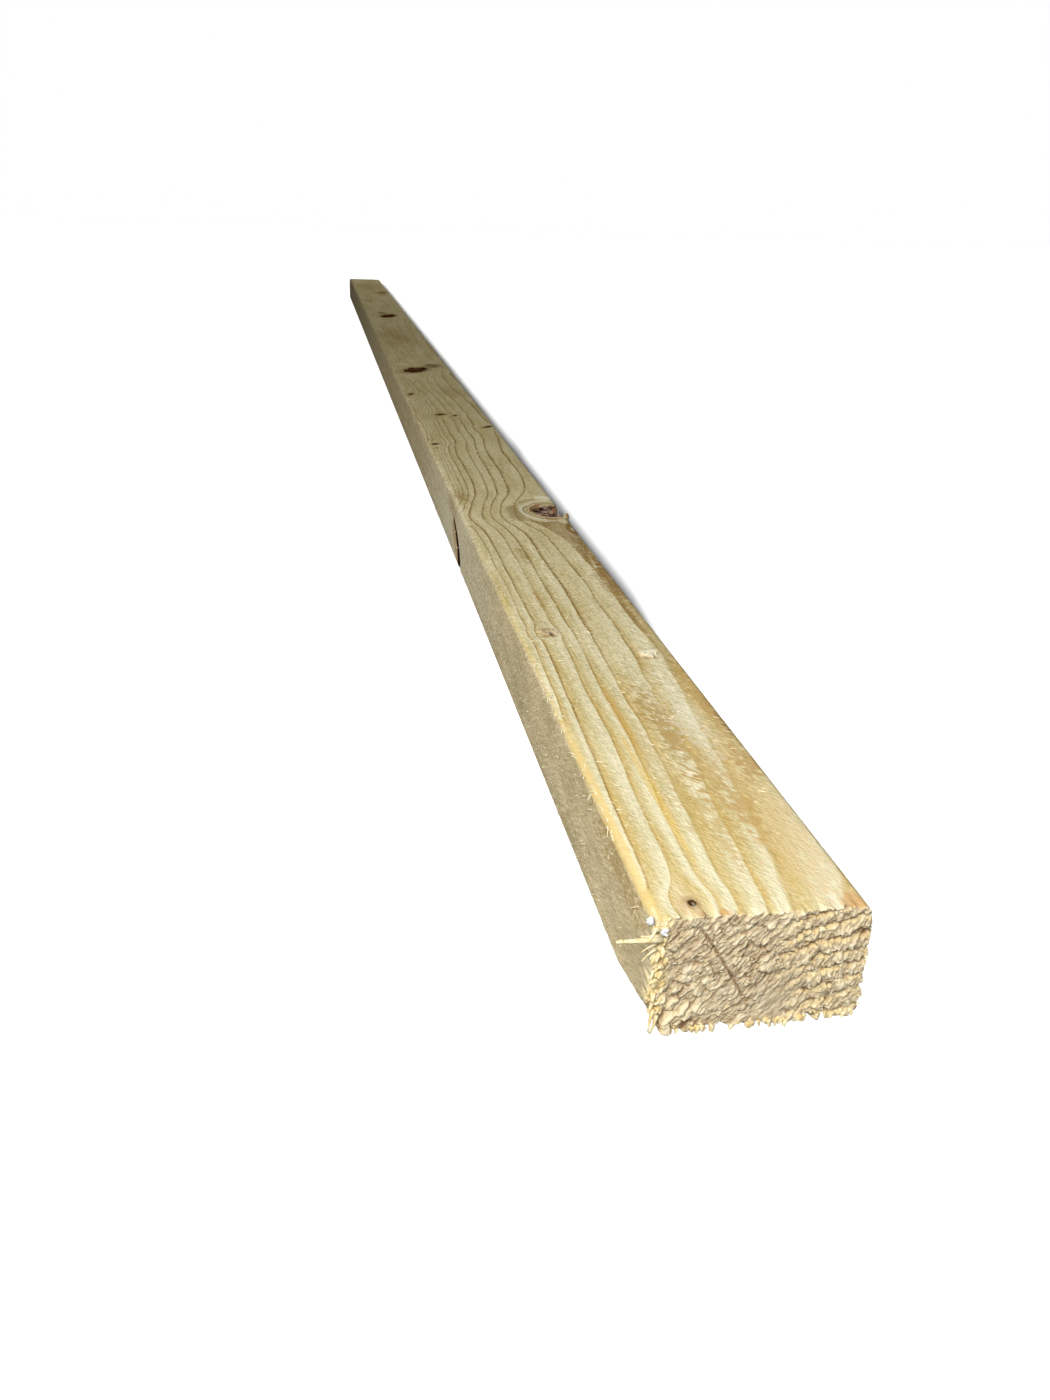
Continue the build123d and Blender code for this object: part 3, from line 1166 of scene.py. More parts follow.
@dataclass(frozen=True)
class KnotBay:
    """The edge knot, broken out through the right-hand upper arris, with its short lip.

    low is the lowest corner of what is shaped, and far its end along the timber. reach_line
    gives distances from the near end and how far the bay reaches in from the edge. rims gives
    the reach and height of the raised lines round the knot.
    """

    stock: Stock
    knot: Knot = EDGE_KNOT
    low: Point = (34.0, 404.0, 16.0)
    far: float = 474.0
    cell: float = 0.7
    reach_line: tuple[Pair, ...] = (
        (426.5, 0.0), (428.5, 2.4), (431.0, 5.0), (434.0, 5.0), (439.0, 3.6), (446.0, 1.9),
        (457.0, 1.2), (465.0, 0.0),
    )
    deepest: float = 11.0
    lip_from_end: float = 422.5
    lip: Point = (1.2, 0.0, 3.2)
    hole: Pair = (56.6, 444.0)
    hole_size: Pair = (1.6, 4.6)
    hole_depth: float = 5.0
    wall: Pair = (59.6, 442.5)
    wall_size: Pair = (2.4, 5.0)
    wall_height: float = 1.4
    rims: tuple[Pair, ...] = ((1.72, 0.35), (1.42, 0.25), (1.08, 0.5))

    def zones(self) -> list[Zone]:
        """Cut the knot and what is round it."""
        return [Zone(self.low, (self.stock.width, self.far, self.stock.thickness), (self.cell,) * 3)]

    def shape(self, skin: Skin) -> None:
        """Open the bay, sink and crack the knot's heart, and raise the lip and the rim."""
        x, y, z = skin.places.T
        width, top = self.stock.width, self.stock.thickness
        near = np.flatnonzero((x > self.low[0]) & (y > self.low[1]) & (y < self.far) & (z > self.low[2]))
        x, y, z = x[near], y[near], z[near]
        here = skin.places[near]
        rough = grain_noise(here, (1.6, 2.0, 1.6), 0.0, 301) * 0.5
        rough = rough + grain_noise(here, (0.8, 0.9, 0.8), 0.0, 302) * 0.3
        opened, move_x, move_z = self._bay(x, y, z)
        skin.offset[near, 0] += np.where(opened, move_x + rough, 0.0)
        skin.offset[near, 2] += np.where(opened, move_z + rough * 0.6, 0.0)
        across = (x - self.knot.from_left) / self.knot.across
        lengthwise = (y - self.knot.from_end) / self.knot.along
        from_heart = np.hypot(across, lengthwise)
        is_top = smooth_step(z, top - 2.5, top - 0.5) * ~opened
        heart = smooth_step(from_heart, 1.06, 0.90) * is_top
        ridges = grain_noise(here, (5.0, 6.0, 5.0), 0.0, 303)
        ridges = ridges + 0.6 * grain_noise(here, (1.8, 3.4, 1.8), 0.0, 304)
        skin.offset[near, 2] += heart * (1.0 * ridges - 1.5)
        for reach_of_rim, height in self.rims:
            skin.offset[near, 2] += height * np.exp(-((from_heart - reach_of_rim) / 0.08) ** 2) * is_top
        hole, wall = (
            smooth_step(np.hypot((x - at_x) / half_x, (y - at_y) / half_y), 1.2, 0.7) * is_top
            for (at_x, at_y), (half_x, half_y) in ((self.hole, self.hole_size), (self.wall, self.wall_size)))
        wall *= 1.0 - hole
        skin.offset[near, 2] += self.wall_height * wall - self.hole_depth * hole
        lip = np.exp(-((y - self.lip_from_end) / 1.6) ** 2) * smooth_step(x, width - 3.0, width - 0.8)
        lip *= smooth_step(z, top - 5.0, top - 1.0)
        for axis in (0, 2):
            skin.offset[near, axis] += self.lip[axis] * lip * (1.0 + 0.5 * rough)
        # Painted shade: the broken surface is painted dark where its roughness sinks it deepest, and the
        # knot's hole is painted nearly black.
        dark = np.where(opened, 0.62 * smooth_step(rough, 0.1, -0.4), 0.0)
        skin.show("bark", near, np.maximum(dark, hole))
        skin.amber_and_shadow[near] = np.maximum(np.where(opened, 0.8, 0.85 * wall), 0.9 * smooth_step(lip, 0.2, 0.6))

    def _bay(self, x: np.ndarray, y: np.ndarray, z: np.ndarray) -> tuple:
        """Fold the faces round the arris back onto the bay's wall and floor.

        Args:
            x: Distances from the left-hand edge.
            y: Distances from the near end.
            z: Heights above the floor.

        Returns:
            Which places lie on the bay, and how far each moves across and up to get there.
        """
        width, top = self.stock.width, self.stock.thickness
        starts, reaches = zip(*self.reach_line)
        reach = np.interp(y, starts, reaches)
        depth = self.deepest * np.sqrt(np.clip(reach / max(reaches), 0.0, 1.0))
        whole = reach + depth
        inner = width - reach
        along = (x - inner) + (top - z)
        share = np.divide(along, whole, out=np.full_like(along, 2.0), where=whole > 0.05)
        turn = np.divide(depth, whole, out=np.ones_like(whole), where=whole > 0.05)
        opened = (share > 0.0) & (share < 1.0) & (reach > 0.05)
        opened &= (x > inner - 0.01) & (z > top - depth - 0.01)
        on_wall = share < turn
        new_x = np.where(on_wall, inner, inner + reach * (share - turn) / np.maximum(1.0 - turn, 0.05))
        new_z = np.where(on_wall, top - depth * share / np.maximum(turn, 0.05), top - depth)
        return opened, new_x - x, new_z - z


@dataclass(frozen=True)
class BarkPocket:
    """The bark pocket in the left-hand edge: a dark slit, painted as shade, with a flat inner face past it.

    near_line and far_line give heights and where the pocket starts and ends at each.
    depth_line gives its depth, and dark_line how much of that the dark slit leaves out.
    """

    near_line: tuple[Pair, ...] = (
        (0.0, 437.0), (4.4, 434.0), (7.3, 435.0), (11.0, 438.0), (14.8, 442.0), (18.2, 447.0),
        (21.1, 453.0), (24.9, 464.0), (26.5, 469.0),
    )
    far_line: tuple[Pair, ...] = (
        (0.0, 446.0), (3.9, 454.0), (6.8, 460.0), (10.3, 466.0), (13.3, 471.0), (17.0, 475.0),
        (21.5, 476.0), (26.5, 474.0),
    )
    depth_line: tuple[Pair, ...] = ((0.0, 0.0), (1.6, 0.8), (4.0, 3.4), (8.0, 5.0), (24.9, 5.0), (26.5, 2.5))
    dark_line: tuple[Pair, ...] = ((4.0, 0.12), (10.0, 0.20), (17.0, 0.20), (21.5, 0.10), (26.5, 0.05))
    floor_share: float = 0.30

    def zones(self) -> list[Zone]:
        """Cut the pocket and a little round it."""
        return [Zone((-1.0, 431.0, -1.0), (4.0, 479.0, 28.0), (1.0, 0.5, 0.6))]

    def shape(self, skin: Skin) -> None:
        """Sink the pocket: steep on its near side, with a face that rises slowly past its floor."""
        x, y, z = skin.places.T
        start, end, depth, past = (
            np.interp(z, *zip(*line))
            for line in (self.near_line, self.far_line, self.depth_line, self.dark_line))
        share = (y - start) / np.maximum(end - start, 0.5)
        is_side = smooth_step(x, 3.6, 0.8) * (z < self.near_line[-1][0])
        sunk = smooth_step(share, 0.0, 0.05) * np.clip((1.0 - share) / (1.0 - self.floor_share), 0.0, 1.0)
        skin.offset[:, 0] += depth * sunk * is_side
        # The tan inner face is the bark's own colour; the dark at the pocket's deepest part is painted shade.
        bark = 0.45 * smooth_step(sunk, 0.02, 0.06) + 0.55 * smooth_step(sunk - past, 0.0, 0.05)
        skin.show("bark", ..., bark * is_side)
        outline = smooth_step(share, 0.86, 0.93) * smooth_step(share, 1.06, 1.0)
        skin.show("amber_and_shadow", ..., 0.75 * outline * is_side)


@dataclass(frozen=True)
class SplitCorner:
    """The near end's lower left corner, where a wedge of wood split off."""

    height: float = 8.0
    length: float = 33.0
    width: float = 5.0
    squeezed: float = 13.0

    def zones(self) -> list[Zone]:
        """Cut the lower left arris near the end."""
        return [Zone((-1.0, 0.0, -1.0), (self.width + 1.0, self.length, self.squeezed), (0.8, 1.2, 0.8))]

    def shape(self, skin: Skin) -> None:
        """Lift the underside and the arris, and squeeze the edge above them."""
        x, y, z = skin.places.T
        ragged = 0.8 * grain_noise(skin.places, (2.0, 2.6, 50.0), 0.0, 340)
        lift = (self.height + ragged) * np.clip(1.0 - y / self.length, 0.0, 1.0)
        lift = lift * smooth_step(x, self.width, 0.4)
        skin.offset[:, 2] += lift * np.clip(1.0 - z / self.squeezed, 0.0, 1.0)


@dataclass(frozen=True)
class KnotGap:
    """The gap on the near side of a dead knot in the upper face, and its rough sunken heart."""

    stock: Stock
    knot: Knot
    depth: float = 3.0
    margin: float = 3.0

    def zones(self) -> list[Zone]:
        """Cut the knot and a little round it."""
        knot, top = self.knot, self.stock.thickness
        reach_x = knot.across + self.margin
        reach_y = knot.along + abs(knot.slant) * knot.across + self.margin
        return [Zone((knot.from_left - reach_x, knot.from_end - reach_y, top - 2.0),
                     (knot.from_left + reach_x, knot.from_end + reach_y, top + 1.0), (0.9, 0.8, 1.0))]

    def shape(self, skin: Skin) -> None:
        """Sink the gap and roughen the heart."""
        knot = self.knot
        x, y, z = skin.places.T
        across = (x - knot.from_left) / knot.across
        along = (y - knot.from_end - knot.slant * (x - knot.from_left)) / knot.along
        reach = np.hypot(across, along)
        is_top = smooth_step(z, self.stock.thickness - 2.0, self.stock.thickness - 0.3)
        gap = smooth_step(reach, 1.08, 1.0) * smooth_step(reach, 0.62, 0.76) * smooth_step(along, 0.05, -0.3)
        heart = smooth_step(reach, 1.0, 0.9) * is_top
        ridges = grain_noise(skin.places, (2.0, 3.0, 2.0), 0.0, 320)
        skin.offset[:, 2] -= is_top * self.depth * gap
        skin.offset[:, 2] += heart * (0.45 * ridges - 0.4) * (1.0 - gap)
        # Painted dark: the dead knot's bark, and with it painted shade in the sunk gap.
        skin.show("bark", ..., gap * is_top)


@dataclass(frozen=True)
class RaisedSpot:
    """A small lump in the upper face: a knot that stands up, or a chip that lifted."""

    stock: Stock
    centre: Pair
    half_size: Pair
    height: float
    slit: float
    rawness: float
    seed: int
    slit_depth: float = 1.4
    margin: float = 2.0

    def zones(self) -> list[Zone]:
        """Cut the lump and a little round it."""
        (x, y), (across, along) = self.centre, self.half_size
        reach_x, reach_y, top = across + self.margin, along + self.margin, self.stock.thickness
        return [Zone((x - reach_x, y - reach_y, top - 1.0), (x + reach_x, y + reach_y, top + 1.0),
                     (0.45, 0.5, 1.0))]

    def shape(self, skin: Skin) -> None:
        """Raise the lump, steep on its near side, with a dark slit in it if it has one; the slit's dark is
        painted shade, and a painted shadow lies along the near side.
        """
        (x_middle, y_middle), (across, along) = self.centre, self.half_size
        x, y, z = skin.places.T
        near = np.flatnonzero(
            (np.abs(x - x_middle) < across + self.margin) & (np.abs(y - y_middle) < along + self.margin)
            & (z > self.stock.thickness - 0.5))
        here = skin.places[near]
        u = (x[near] - x_middle) / across
        v = (y[near] - y_middle) / along
        edge = grain_noise(here, (1.3, 1.6, 1.0), 0.0, self.seed) * 0.35
        lump = smooth_step(np.hypot(u, v) + edge, 1.0, 0.75) * smooth_step(v, 1.2, -0.9)
        uneven = 0.8 + 0.5 * grain_noise(here, (0.9, 1.1, 1.0), 0.0, self.seed + 1)
        skin.offset[near, 2] += self.height * lump * uneven
        skin.show("raw", near, self.rawness * lump)
        # Painted shade: the sunk slit is painted dark.
        dark = smooth_step(np.hypot((u - 0.2) / 0.62, (v + 0.35 + 0.5 * u) / 0.36), 1.1, 0.6) * self.slit
        skin.offset[near, 2] -= self.slit_depth * dark
        skin.show("bark", near, dark)
        # Painted shadow: amber-brown along the lump's near side.
        skin.show("amber_and_shadow", near, 0.55 * smooth_step(np.hypot(u, (v + 1.0) / 0.35), 1.1, 0.4))


@dataclass(frozen=True)
class Timber:
    """The sawn and planed length of wood, as one closed skin."""

    stock: Stock
    reliefs: tuple[Relief, ...]
    arris: float = 3.0
    arris_facets: int = 6
    coarse_cell: Point = (9.0, 60.0, 9.0)
    tiny: float = 1e-6

    def build(self) -> bpy.types.Object:
        """Make the skin: a block with eased arrises, cut up where it is rough, then shaped.

        Returns:
            The timber's object.
        """
        bm = bmesh.new()
        bmesh.ops.create_cube(bm, size=1.0)
        size = self.stock.high - self.stock.low
        bmesh.ops.scale(bm, vec=size, verts=bm.verts)
        bmesh.ops.translate(bm, vec=(self.stock.high + self.stock.low) / 2, verts=bm.verts)
        long_edges = [e for e in bm.edges if abs(e.verts[0].co.y - e.verts[1].co.y) > size.y / 2]
        bmesh.ops.bevel(bm, geom=long_edges, offset=self.arris * MM, offset_type="OFFSET",
                        segments=self.arris_facets, profile=0.5, affect="EDGES", material=-1)
        whole = Zone((0, 0, 0), (self.stock.width, self.stock.length, self.stock.thickness), self.coarse_cell)
        for zone in [whole, *(zone for relief in self.reliefs for zone in relief.zones())]:
            self._cut(bm, zone)
        bmesh.ops.triangulate(bm, faces=[f for f in bm.faces if len(f.verts) > 4])
        for face in bm.faces:
            face.smooth = True
            face.material_index = 1 if abs(face.normal.y) > 0.5 else 0
        timber = object_from(bm, "timber")
        self._shape(timber.data)
        return timber

    def _cut(self, bm: bmesh.types.BMesh, zone: Zone) -> None:
        """Cut the skin inside a zone along planes, one cell apart.

        Args:
            bm: The skin.
            zone: Where to cut and how finely.
        """
        low, high = self.stock.metres(zone.low), self.stock.metres(zone.high)
        for axis in range(3):
            for bound in (low, high):
                self._slice(bm, self._faces_in(bm, low, high, True), axis, [bound[axis]])
        for axis in (1, 0, 2):
            count = max(1, round((high[axis] - low[axis]) / (zone.cell[axis] * MM)))
            places = [low[axis] + (high[axis] - low[axis]) * i / count for i in range(1, count)]
            self._slice(bm, self._faces_in(bm, low, high, False), axis, places)

    def _faces_in(self, bm: bmesh.types.BMesh, low: Vector, high: Vector, touching: bool) -> list:
        """Find the faces that lie in a box, or that touch it.

        Args:
            bm: The skin.
            low: The box's lowest corner.
            high: The box's highest corner.
            touching: True for all faces that touch the box, False for those whose middle is in it.

        Returns:
            The faces, with their edges and vertices.
        """
        tiny = self.tiny
        found = []
        for face in bm.faces:
            if touching:
                corners = [v.co for v in face.verts]
                inside = all(min(c[a] for c in corners) < high[a] + tiny
                             and max(c[a] for c in corners) > low[a] - tiny for a in range(3))
            else:
                middle = face.calc_center_bounds()
                inside = all(low[a] - tiny < middle[a] < high[a] + tiny for a in range(3))
            if inside:
                found.append(face)
        edges = {e for f in found for e in f.edges}
        verts = {v for f in found for v in f.verts}
        return list(verts) + list(edges) + found

    def _slice(self, bm: bmesh.types.BMesh, geometry: list, axis: int, places: list[float]) -> None:
        """Cut some of the skin along planes square to one axis.

        Args:
            bm: The skin.
            geometry: The faces to cut, with their edges and vertices.
            axis: The axis that the planes are square to.
            places: Where each plane crosses it.
        """
        normal = Vector((axis == 0, axis == 1, axis == 2))
        for place in places:
            geometry = bmesh.ops.bisect_plane(bm, geom=geometry, dist=self.tiny / 10, plane_co=normal * place,
                                              plane_no=normal)["geom"]

    def _shape(self, mesh: bpy.types.Mesh) -> None:
        """Let each relief move the skin's points, and keep what each point shows.

        Args:
            mesh: The cut-up skin.
        """
        flat = np.empty(len(mesh.vertices) * 3)
        mesh.vertices.foreach_get("co", flat)
        shift = np.array(self.stock.shift)
        skin = Skin(flat.reshape(-1, 3) / MM + shift)
        for relief in self.reliefs:
            relief.shape(skin)
        mesh.vertices.foreach_set("co", ((skin.places + skin.offset - shift) * MM).ravel())
        for name in SHOWN:
            attribute = mesh.attributes.new(name, "FLOAT", "POINT")
            attribute.data.foreach_set("value", getattr(skin, name))
        mesh.update()


@dataclass(frozen=True)
class Splinter:
    """One loose sliver: rooted in the wood, tapering to its tip and curling one way."""

    root: Point
    way: Point
    length: float
    width: float
    curl: Point = (0.0, 0.0, 0.0)
    flatness: float = 0.5

    def bend(self, straight: np.ndarray) -> np.ndarray:
        """Lay a straight sliver, one long and two wide, along this one's line.

        Args:
            straight: The straight sliver's points, along z from 0 to 1.

        Returns:
            The points on the timber.
        """
        forward = Vector(self.way).normalized()
        aside = forward.cross(Vector((0.0, 0.0, 1.0)))
        aside = aside.normalized() if aside.length > 0.1 else Vector((1.0, 0.0, 0.0))
        outward = aside.cross(forward)
        a, b, share = straight.T
        points = np.outer(share * self.length, forward) + np.outer(share ** 2 * self.length, self.curl)
        points += np.outer(a * self.width / 2, aside) + np.outer(b * self.width * self.flatness / 2, outward)
        return points + np.array(self.root)


@dataclass(frozen=True)
class Splinters:
    """The slivers that the saw and the planer left standing, in groups by place."""

    stock: Stock
    sides: int = 5
    tip: float = 0.4
    spans: tuple[float, ...] = (0.3, 0.6, 0.85)
    seed: int = 41
    flatness: float = 0.7
    fringe_count: int = 54
    tooth_count: int = 52
    right_tooth_count: int = 12
    end_count: int = 150
    arris_count: int = 260
    face_count: int = 620
    edge_count: int = 340

    def left_fringe(self) -> list[Splinter]:
        """Golden fringe down the near end's left-hand edge, with one long pale sliver."""
        uniform, chosen = self._draws(0)
        slivers = [
            Splinter((2.2, -0.8, 32.6), (-1.0, -0.12, 0.10), 13.4, 3.0, (0.0, 0.0, 0.0), 0.7),
            Splinter((-9.4, -2.1, 34.4), (-0.2, -0.1, -1.0), 2.2, 1.1, (0.0, 0.0, 0.0), 0.7),
            Splinter((1.6, -0.6, 33.8), (-1.0, -0.2, -0.05), 5.8, 1.7, (0.0, 0.0, 0.2), 0.7),
            Splinter((1.0, -0.8, 29.6), (-0.9, -0.3, -0.15), 5.4, 1.0, (0.1, 0.0, -0.3), 0.8),
            Splinter((0.8, -0.8, 31.2), (-0.7, -0.2, 0.0), 4.6, 1.0, (0.0, 0.0, -0.3), 0.8),
            Splinter((0.6, -0.6, 36.4), (-0.5, -0.4, -0.8), 4.6, 1.3, (-0.1, 0.0, 0.1), 0.7),
            Splinter((1.6, -0.8, 9.6), (-0.35, -0.15, -1.0), 7.6, 1.7, (0.16, 0.0, 0.0), 0.7),
            Splinter((2.6, -0.8, 7.4), (-0.1, -0.15, -1.0), 5.6, 1.5, (-0.2, 0.0, 0.0), 0.7),
        ]
        for _ in range(self.fringe_count):
            height = uniform(8.0, 36.5)
            slivers.append(Splinter(
                (0.4 + 4.0 * chosen() ** 1.6, uniform(-0.4, 0.6), height),
                (-uniform(0.2, 0.7), -uniform(0.3, 0.7), uniform(-1.0, 0.3)),
                uniform(1.2, 2.4), uniform(1.3, 2.4),
                (uniform(-0.1, 0.2), 0.0, uniform(-0.3, 0.1)), 0.6))
        return slivers

    def bottom_teeth(self) -> list[Splinter]:
        """Teeth that hang from the near end's lower edge, and a few on its right-hand edge."""
        uniform, _ = self._draws(1)
        slivers = []
        for _ in range(self.tooth_count):
            x = uniform(4.0, 62.0)
            floor = 2.0 if x > 44.0 else 1.0
            slivers.append(Splinter(
                (x, uniform(-1.1, 0.2), floor + uniform(0.6, 1.8)),
                (uniform(-0.7, 0.2), -uniform(0.1, 0.5), -1.0),
                uniform(1.0, 2.2), uniform(1.0, 2.2), (0.0, 0.0, 0.0), self.flatness))
        for _ in range(self.right_tooth_count):
            slivers.append(Splinter(
                (62.4, uniform(-0.6, 0.3), uniform(4.0, 36.0)),
                (uniform(0.5, 1.0), -uniform(0.3, 0.8), uniform(-0.8, 0.4)),
                uniform(0.8, 1.5), uniform(0.5, 0.9)))
        return slivers

    def end_fibres(self) -> list[Splinter]:
        """Short fibres that stand out of the torn end, leaning up to the right."""
        uniform, _ = self._draws(2)
        slivers = []
        for _ in range(self.end_count):
            x, z = uniform(1.0, 61.5), uniform(4.0, 36.0)
            if abs(x - 37.0) < 8.0 and z < 17.0:
                continue
            lean = uniform(0.4, 1.0)
            slivers.append(Splinter(
                (x, 0.4, z), (lean * 0.7, -uniform(0.5, 1.0), lean),
                uniform(1.4, 2.8), uniform(0.5, 1.0),
                (0.0, uniform(0.0, 0.3), uniform(-0.2, 0.3))))
        return slivers

    def arris_fibres(self) -> list[Splinter]:
        """Bright fibres torn up along the left-hand upper arris, fewer towards the far end."""
        draw = random.Random(self.seed + 3)
        uniform = draw.uniform
        slivers = []
        for _ in range(self.arris_count):
            y = 50.0 + 1000.0 * draw.random() ** 1.5
            turn = uniform(0.2, math.pi / 2 - 0.2)
            x, z = 3.0 - 3.0 * math.cos(turn), 35.0 + 3.0 * math.sin(turn)
            slivers.append(Splinter(
                (x + 0.1, y, z - 0.15), (uniform(-0.6, 0.5), draw.choice((-1.0, 1.0)), uniform(0.05, 0.45)),
                uniform(1.4, 4.4), uniform(0.4, 0.8),
                (uniform(-0.2, 0.2), 0.0, -uniform(0.1, 0.35)), self.flatness))
        return slivers

    def raised_fibres(self) -> list[Splinter]:
        """Short fibres lifted off the upper face and the left-hand edge."""
        uniform, chosen = self._draws(4)
        slivers = []
        for _ in range(self.face_count):
            y = 40.0 + 640.0 * chosen()
            slivers.append(Splinter(
                (uniform(3.0, 60.0), y, self.stock.thickness - 0.12),
                (uniform(0.1, 0.9), -uniform(0.3, 1.0), uniform(0.1, 0.4)),
                uniform(1.0, 2.8), uniform(0.3, 0.65),
                (0.0, 0.0, -uniform(0.1, 0.35)), self.flatness))
        for _ in range(self.edge_count):
            y = 15.0 + 620.0 * chosen() ** 1.2
            slivers.append(Splinter(
                (0.12, y, uniform(1.0, 34.0)),
                (-uniform(0.08, 0.4), uniform(0.5, 1.0), -uniform(0.2, 0.8)),
                uniform(1.2, 3.6), uniform(0.3, 0.6),
                (uniform(0.1, 0.35), 0.0, 0.0), self.flatness))
        return slivers

    def _draws(self, group: int) -> tuple[Callable, Callable]:
        """Give a group's own random draws: one between bounds, and one from 0 to 1."""
        draw = random.Random(self.seed + group)
        return draw.uniform, draw.random

    def build(self, name: str, slivers: list[Splinter]) -> bpy.types.Object:
        """Make one piece of a group of slivers.

        Args:
            name: The piece's name.
            slivers: The group.

        Returns:
            The piece's object.
        """
        pattern, straight = self._straight()
        bm = bmesh.new()
        for _ in slivers:
            bm.from_mesh(pattern)
        for face in bm.faces:
            face.smooth = True
        piece = object_from(bm, name)
        points = np.concatenate([sliver.bend(straight) for sliver in slivers])
        points[:, 2] = np.maximum(points[:, 2], 0.0)
        piece.data.vertices.foreach_set("co", ((points - np.array(self.stock.shift)) * MM).ravel())
        piece.data.update()
        return piece

    def _straight(self) -> tuple[bpy.types.Mesh, np.ndarray]:
        """Make one straight closed sliver, a long cone cut into spans.

        Returns:
            Its mesh and its points.
        """
        bm = bmesh.new()
        bmesh.ops.create_cone(bm, cap_ends=True, segments=self.sides, radius1=1.0, radius2=self.tip,
                              depth=1.0)
        bmesh.ops.translate(bm, vec=(0.0, 0.0, 0.5), verts=bm.verts)
        for span in self.spans:
            geometry = list(bm.verts) + list(bm.edges) + list(bm.faces)
            bmesh.ops.bisect_plane(bm, geom=geometry, plane_co=(0.0, 0.0, span), plane_no=(0.0, 0.0, 1.0))
        pattern = bpy.data.meshes.new("sliver_pattern")
        bm.to_mesh(pattern)
        bm.free()
        straight = np.empty(len(pattern.vertices) * 3)
        pattern.vertices.foreach_get("co", straight)
        return pattern, straight.reshape(-1, 3)


@dataclass(frozen=True)
class Lint:
    """Two white tufts of felted fibre at the near end's upper left corner."""

    stock: Stock
    places: tuple[Point, ...] = ((-1.2, 0.2, 38.0), (2.4, -0.9, 35.0))
    radii: tuple[float, ...] = (1.0, 1.1)
    roughness: float = 0.8

    def build(self) -> bpy.types.Object:
        """Make the tufts: balls with a lumpy surface.

        Returns:
            The tufts' object.
        """
        bm = bmesh.new()
        for index, (place, radius) in enumerate(zip(self.places, self.radii)):
            ball = bmesh.ops.create_icosphere(bm, subdivisions=3, radius=1.0)["verts"]
            shape = np.array([v.co for v in ball])
            lumps = grain_noise(shape, (0.55, 0.55, 0.55), 0.0, 70 + index)
            lumps += 0.5 * grain_noise(shape, (0.25, 0.25, 0.25), 0.0, 80 + index)
            for vert, lump in zip(ball, lumps):
                vert.co = self.stock.metres(place) + vert.co * (radius * MM * (1.0 + self.roughness * lump))
        for face in bm.faces:
            face.smooth = True
        return object_from(bm, "lint_tufts")


@dataclass(frozen=True)
class Viewpoint:
    """The photographer's camera, measured from the near end's lower left corner."""

    from_left: float = -85.15
    from_end: float = -255.63
    above_floor: float = 216.06
    yaw: float = 10.546
    pitch: float = 23.284
    roll: float = 2.073
    focal_pixels: float = 1176.8
    frame_pixels: tuple[int, int] = (1050, 1400)
    sensor: float = 36.0

    def place(self, stock: Stock) -> None:
        """Put the camera in the scene, measured on the timber's box."""
        data = bpy.data.cameras.new("camera")
        data.sensor_width = self.sensor
        data.lens = self.focal_pixels * self.sensor / max(self.frame_pixels)
        data.clip_start = 0.01
        camera = bpy.data.objects.new("camera", data)
        turn = (Matrix.Rotation(-math.radians(self.yaw), 4, "Z")
                @ Matrix.Rotation(math.radians(90.0 - self.pitch), 4, "X")
                @ Matrix.Rotation(math.radians(self.roll), 4, "Z"))
        place = stock.metres((self.from_left, self.from_end, self.above_floor))
        camera.matrix_world = Matrix.Translation(place) @ turn
        bpy.context.scene.collection.objects.link(camera)
        bpy.context.scene.camera = camera


@dataclass(frozen=True)
class SoftLamp:
    """A square soft lamp: its side, where it hangs and where it points are in metres."""

    name: str
    watts: float
    side: float
    place: Point
    target: Point

    def hang(self) -> None:
        """Hang the lamp."""
        data = bpy.data.lights.new(self.name, "AREA")
        data.energy = self.watts
        data.size = self.side
        lamp = bpy.data.objects.new(self.name, data)
        lamp.location = self.place
        towards = Vector(self.target) - Vector(self.place)
        lamp.rotation_euler = towards.to_track_quat("-Z", "Y").to_euler()
        bpy.context.scene.collection.objects.link(lamp)


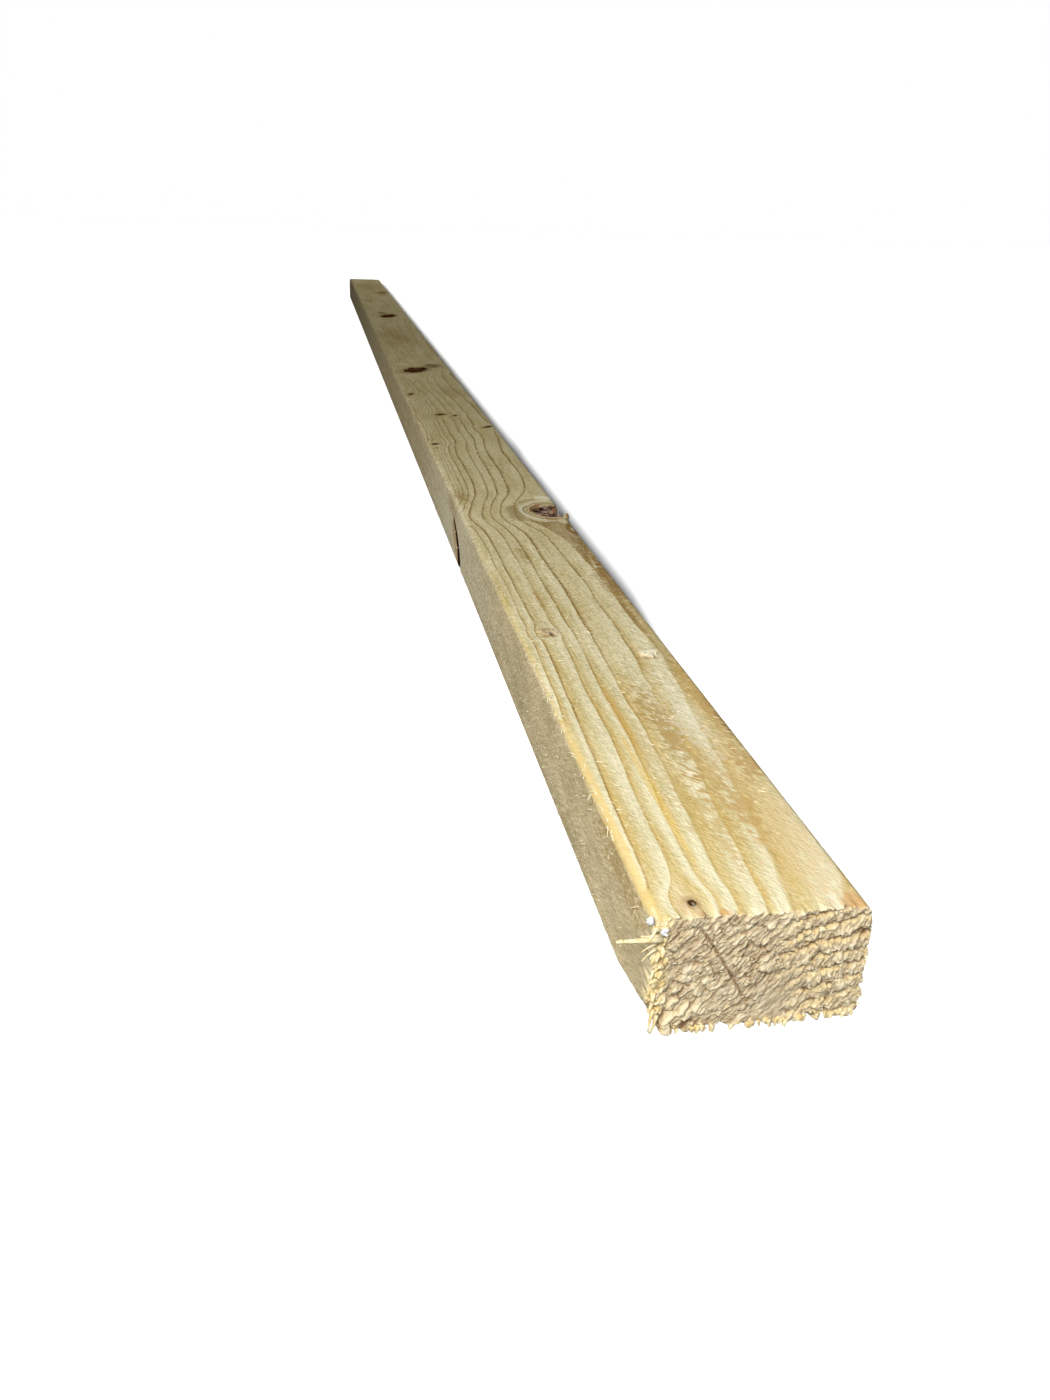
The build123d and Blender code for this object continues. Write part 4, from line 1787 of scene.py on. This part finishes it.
@dataclass(frozen=True)
class Studio:
    """A white floor and soft light that falls off from the near end to the far one."""

    stock: Stock
    floor_size: float = 12.0
    floor_gap: float = 0.0004
    lamps: tuple[SoftLamp, ...] = (
        SoftLamp("key", 5.6, 0.26, (-0.26, -1.64, 0.475), (0.0, -1.15, 0.03)),
        SoftLamp("left", 10.3, 0.9, (-1.12, -1.2, 1.0), (0.0, -0.23, 0.0)),
        SoftLamp("back", 34.0, 1.0, (1.48, 2.74, 1.21), (0.0, 1.2, 0.0)),
    )
    shadow_strength: float = 75.0
    shadow_spread: float = 1.2
    shadow_elevation: float = 5.4
    shadow_azimuth: float = 5.3
    sky: float = 0.068
    bounce: float = 0.02
    floor_white: float = 0.45

    def build(self) -> None:
        """Put up the floor, the sky and the lamps."""
        floor = self._floor()
        self._sky()
        for lamp in self.lamps:
            lamp.hang()
        self._floor_lamp(floor)

    def _floor(self) -> bpy.types.Object:
        """Lay the floor: white to the eye, with the timber's shadow, and grey to other light."""
        bm = bmesh.new()
        bmesh.ops.create_grid(bm, x_segments=1, y_segments=1, size=self.floor_size / 2)
        floor = object_from(bm, "floor")
        floor.data.transform(Matrix.Translation((0.0, 0.0, self.stock.low.z - self.floor_gap)))
        material = bpy.data.materials.new("white_floor")
        material.use_nodes = True
        material.node_tree.nodes.clear()
        add = partial(add_node, material.node_tree)
        seen = self._seen(add)
        plain, white = (
            add("BsdfDiffuse", {"Color": (grey, grey, grey, 1.0)}) for grey in (self.bounce, self.floor_white))
        add("OutputMaterial", [add("MixShader", [seen, plain, white])])
        floor.data.materials.append(material)
        return floor

    @staticmethod
    def _seen(add: Callable) -> bpy.types.Node:
        """Tell rays from the camera, and through gloss or glass, from other light."""
        path = add("LightPath").outputs
        seen = add("Math", [path["Is Camera Ray"], path["Is Glossy Ray"]], operation="MAXIMUM")
        return add("Math", [seen, path["Is Transmission Ray"]], operation="MAXIMUM")

    def _sky(self) -> None:
        """Make the sky white to the eye and dim to the timber."""
        world = bpy.data.worlds.new("sky")
        world.use_nodes = True
        bpy.context.scene.world = world
        world.node_tree.nodes.clear()
        add = partial(add_node, world.node_tree)
        strength = add("MapRange", [self._seen(add), 0.0, 1.0, self.sky, 1.0])
        background = add("Background", {"Color": (1.0, 1.0, 1.0, 1.0), "Strength": strength})
        add("OutputWorld", [background])

    def _floor_lamp(self, floor: bpy.types.Object) -> None:
        """Light the floor alone to white, from the key lamp's side, so that the shadow shows."""
        data = bpy.data.lights.new("floor_light", "SUN")
        data.energy = self.shadow_strength
        data.angle = math.radians(self.shadow_spread)
        lamp = bpy.data.objects.new("floor_light", data)
        azimuth, elevation = math.radians(self.shadow_azimuth), math.radians(self.shadow_elevation)
        towards = Vector((math.sin(azimuth) * math.cos(elevation), math.cos(azimuth) * math.cos(elevation),
                          -math.sin(elevation)))
        lamp.rotation_euler = towards.to_track_quat("-Z", "Y").to_euler()
        bpy.context.scene.collection.objects.link(lamp)
        lit = bpy.data.collections.new("lit_by_floor_light")
        lit.objects.link(floor)
        lamp.light_linking.receiver_collection = lit


def belong(piece: bpy.types.Object, *materials: bpy.types.Material) -> None:
    """Give a piece its materials and the body that it rides on, and report it.

    Args:
        piece: The piece.
        materials: Its materials, in order.
    """
    for material in materials:
        piece.data.materials.append(material)
    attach(piece, BODY)
    LOG.info("%s: %d faces", piece.name, len(piece.data.polygons))


def main() -> None:
    """Build every piece in order and report it."""
    logging.basicConfig(level=logging.INFO, format="%(name)s: %(message)s")
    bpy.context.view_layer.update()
    low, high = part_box(NODE)
    stock = Stock(Vector(low), Vector(high))
    rings = GrowthRings()
    bpy.context.scene.view_settings.view_transform = "Standard"
    Viewpoint().place(stock)
    Studio(stock).build()
    reliefs = (
        TornEnd(stock, rings, is_far=True),
        KnotBay(stock),
        BarkPocket(),
        KnotGap(stock, FIRST_DEAD_KNOT),
        KnotGap(stock, SECOND_DEAD_KNOT),
        RaisedSpot(stock, (13.3, 226.0), (4.2, 6.0), 1.6, 1.0, 0.25, 500),
        RaisedSpot(stock, (51.2, 197.0), (4.8, 6.2), 1.5, 0.0, 1.0, 510),
        SplitCorner(),
        TornEnd(stock, rings, is_far=False),
    )
    timber = Timber(stock, reliefs).build()
    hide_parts(NODE)
    belong(timber, PlanedSoftwood(stock, rings).material(), TornEndGrain(stock).material())
    golden = TornFibre().material()
    pale = TornFibre("raised_spruce_fibre", "e9d7a2", "fcf5d9").material()
    white = TornFibre("white_lint", "e2e2e8", "fcfcfc", 0.8, 0.9).material()
    splinters = Splinters(stock)
    belong(splinters.build("left_fringe", splinters.left_fringe()), golden)
    belong(splinters.build("bottom_teeth", splinters.bottom_teeth()), golden)
    belong(splinters.build("end_fibres", splinters.end_fibres()), pale)
    belong(splinters.build("arris_fibres", splinters.arris_fibres()), pale)
    belong(splinters.build("raised_fibres", splinters.raised_fibres()), pale)
    belong(Lint(stock).build(), white)


if __name__ == "__main__":
    main()
